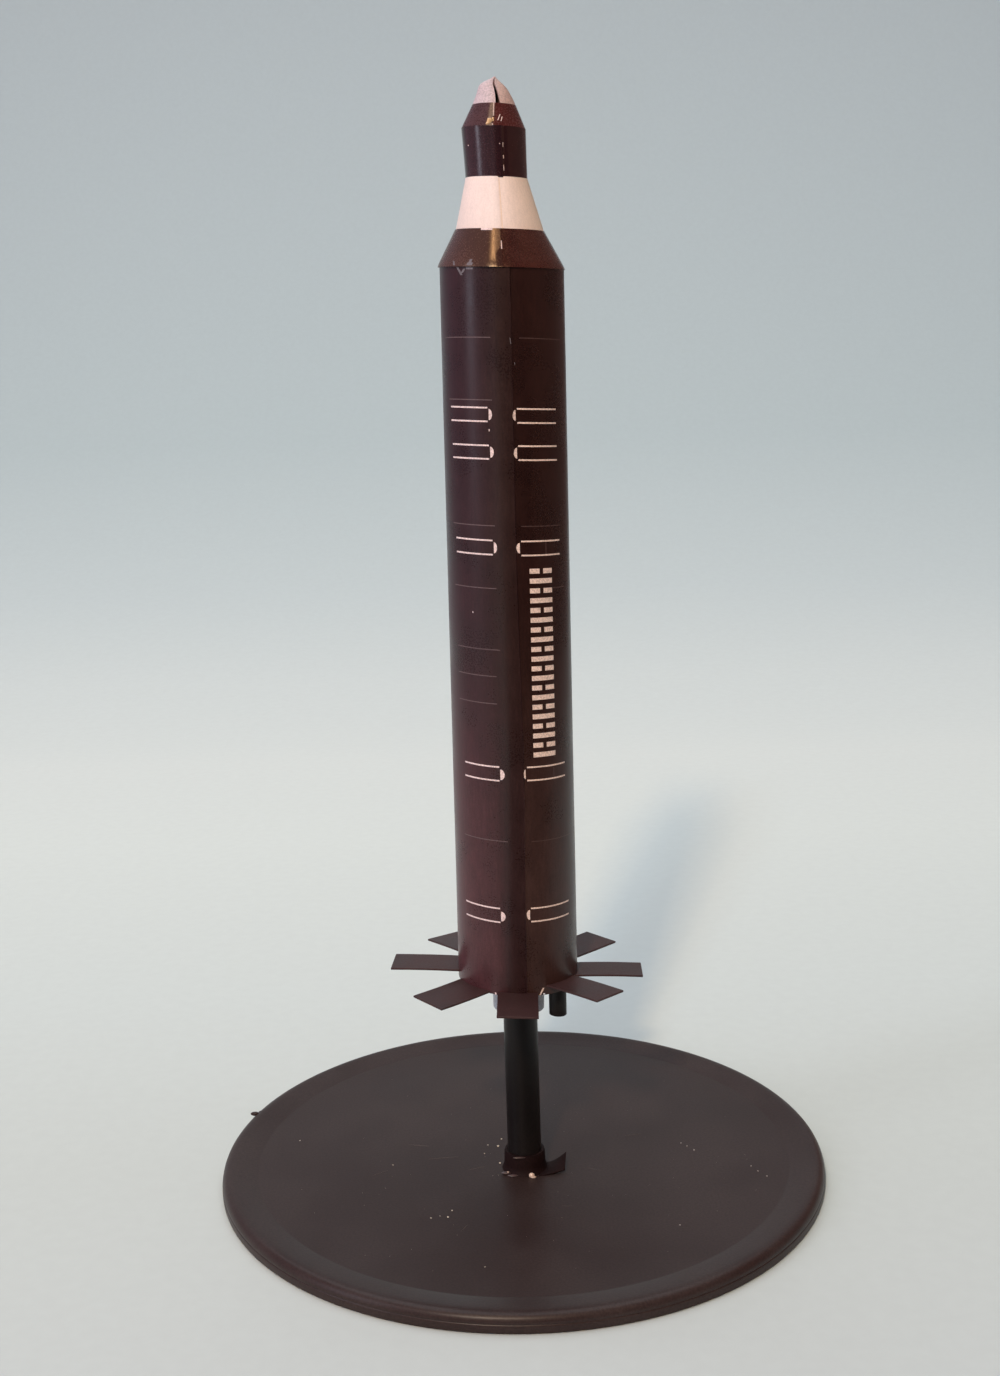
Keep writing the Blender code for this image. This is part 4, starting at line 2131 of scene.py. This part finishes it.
CONES = CardFinish(
    "cone_card",
    zones=(
        (0.0, (0.038, 0.0068, 0.0062, 1.0)),
        (0.5, (0.043, 0.0130, 0.0125, 1.0)),
        (0.8, (0.062, 0.0250, 0.0240, 1.0)),
        (1.0, (0.052, 0.0190, 0.0155, 1.0)),
    ),
    cut_share=0.35,
    roughness=0.23,
    specular=0.75,
    gloss_tint=(1.0, 0.74, 0.50, 1.0),
)

NOSE = CardFinish(
    "nose_card",
    zones=(
        (0.0, (0.085, 0.0170, 0.0150, 1.0)),
        (0.5, (0.070, 0.0160, 0.0160, 1.0)),
        (0.8, (0.062, 0.0230, 0.0260, 1.0)),
        (1.0, (0.060, 0.0210, 0.0230, 1.0)),
    ),
    cut_share=0.1,
    roughness=0.24,
    specular=0.45,
)

# The zones paint light: pinkish white on the left under the cool window, tan on the right where the
# warm key falls
WHITE = CardFinish(
    "white_card",
    zones=(
        (0.0, (0.92, 0.75, 0.69, 1.0)),
        (0.08, (0.93, 0.73, 0.63, 1.0)),
        (0.20, (0.94, 0.70, 0.53, 1.0)),
        (0.5, (0.88, 0.70, 0.62, 1.0)),
        (1.0, (0.90, 0.75, 0.72, 1.0)),
    ),
    cut=(0.10, 0.045, 0.035, 1.0),
    cut_share=0.85,
    cut_break=(0.30, 0.45),
    roughness=0.5,
    mottle=0.03,
    fibre=0.03,
)


BASE_PLASTIC = PlasticFinish(
    "base_plastic",
    (0.030, 0.0160, 0.0145, 1.0),
    dust_share=0.12,
    roughness=0.38,
    specular=0.28,
)
BLACK_PLASTIC = PlasticFinish(
    "black_plastic",
    (0.0065, 0.0050, 0.0050, 1.0),
    dust_share=0.06,
    roughness=0.40,
    specular=0.3,
)
FOOT_PLASTIC = PlasticFinish(
    "foot_plastic",
    (0.0130, 0.0048, 0.0050, 1.0),
    dust_share=0.02,
    roughness=0.60,
    specular=0.12,
)
# Painted light: the print and the tip are cooler on the left, under the window, and warmer or darker
# on the right, where the warm key falls
PALE_PRINT = InkFinish("pale_print", (0.88, 0.70, 0.70, 1.0), (0.95, 0.71, 0.61, 1.0))
FAINT_PRINT = InkFinish("faint_print", (0.13, 0.08, 0.085, 1.0), (0.08, 0.04, 0.035, 1.0))
TIP_PAPER = InkFinish(
    "tip_paper", (0.62, 0.50, 0.54, 1.0), (0.57, 0.38, 0.33, 1.0), across=(-0.0020, 0.0006)
)
# Painted shade: the white ring is coloured bluish grey, as it stands in shade lit by the bluish paper
SHADED_RING_PAPER = InkFinish("shaded_ring_paper", (0.62, 0.64, 0.70, 1.0), (0.62, 0.63, 0.69, 1.0))
SCUFFED_CARD = InkFinish("scuff", (0.17, 0.145, 0.165, 1.0), (0.17, 0.145, 0.155, 1.0))
DUST = InkFinish("dust_strands", (0.15, 0.12, 0.11, 1.0), (0.11, 0.09, 0.08, 1.0))
CRUMB = InkFinish("crumbs", (0.88, 0.78, 0.62, 1.0), (0.62, 0.55, 0.50, 1.0))
AMBER_GLUE = GlueFinish("amber_glue", (0.66, 0.42, 0.22, 1.0))
PALE_GLUE = GlueFinish("pale_glue", (0.95, 0.74, 0.60, 1.0), roughness=0.08)
DULL_GLUE = GlueFinish("dull_glue", (0.085, 0.055, 0.055, 1.0), roughness=0.35)


def main() -> None:
    """Builds and dresses the rocket, then the studio round it."""
    logging.basicConfig(level=logging.INFO, format="%(name)s %(message)s")
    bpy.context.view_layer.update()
    base, black, brown, ink, shaded_ring_paper = (
        finish.material() for finish in (BASE_PLASTIC, BLACK_PLASTIC, BROWN, PALE_PRINT, SHADED_RING_PAPER)
    )

    Base().build(base)
    crumbs = Crumbs()
    crumbs.build(CRUMB.material())
    crumbs.strands(DUST.material())
    Beads("rim_burrs", RIM_BURRS).build(base, Slot.BASE)
    post = Post()
    post.build(black)
    post.foot(FOOT_PLASTIC.material())

    body = BODY_SHEET.workpiece()
    body.move(STANCE.body())
    body.finish(PRINTED.material(), Slot.PRINTED, ["body_tube"])
    printing = Printing()
    printing.windows(ink)
    printing.bars(ink)
    printing.lines(FAINT_PRINT.material())

    for sheet, finish, slot, node in (
        (SHOULDER_SHEET, CONES, Slot.PRINTED, "shoulder_cone"),
        (BAND_SHEET, WHITE, Slot.WHITE, "white_band"),
        (UPPER_SHEET, SLEEVE, Slot.PRINTED, "upper_tube"),
        (NOSE_SHEET, NOSE, Slot.PRINTED, "nose_cone"),
    ):
        work = sheet.workpiece()
        work.move(STANCE.nose())
        work.finish(finish.material(), slot, [node])
    Tip().build(TIP_PAPER.material())
    looks = {Bare.PALE: ink, Bare.SCUFF: SCUFFED_CARD.material()}
    for patch in PATCHES:
        patch.lay(looks)
    Beads("nose_glue", NOSE_GLUE).build(AMBER_GLUE.material())
    Beads("foot_glue", FOOT_GLUE).build(PALE_GLUE.material())
    Beads("foot_smear", FOOT_SMEAR).build(DULL_GLUE.material())
    Beads("tail_glue_glints", TAIL_GLUE_GLINTS).build(shaded_ring_paper)

    tail = Tail()
    tail.flaps(brown)
    tail.ring(shaded_ring_paper)
    tail.pipe(black)
    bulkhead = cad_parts["tail_bulkhead"]
    bulkhead.data.materials.clear()
    bulkhead.data.materials.append(brown)

    Studio().build()


if __name__ == "__main__":
    main()
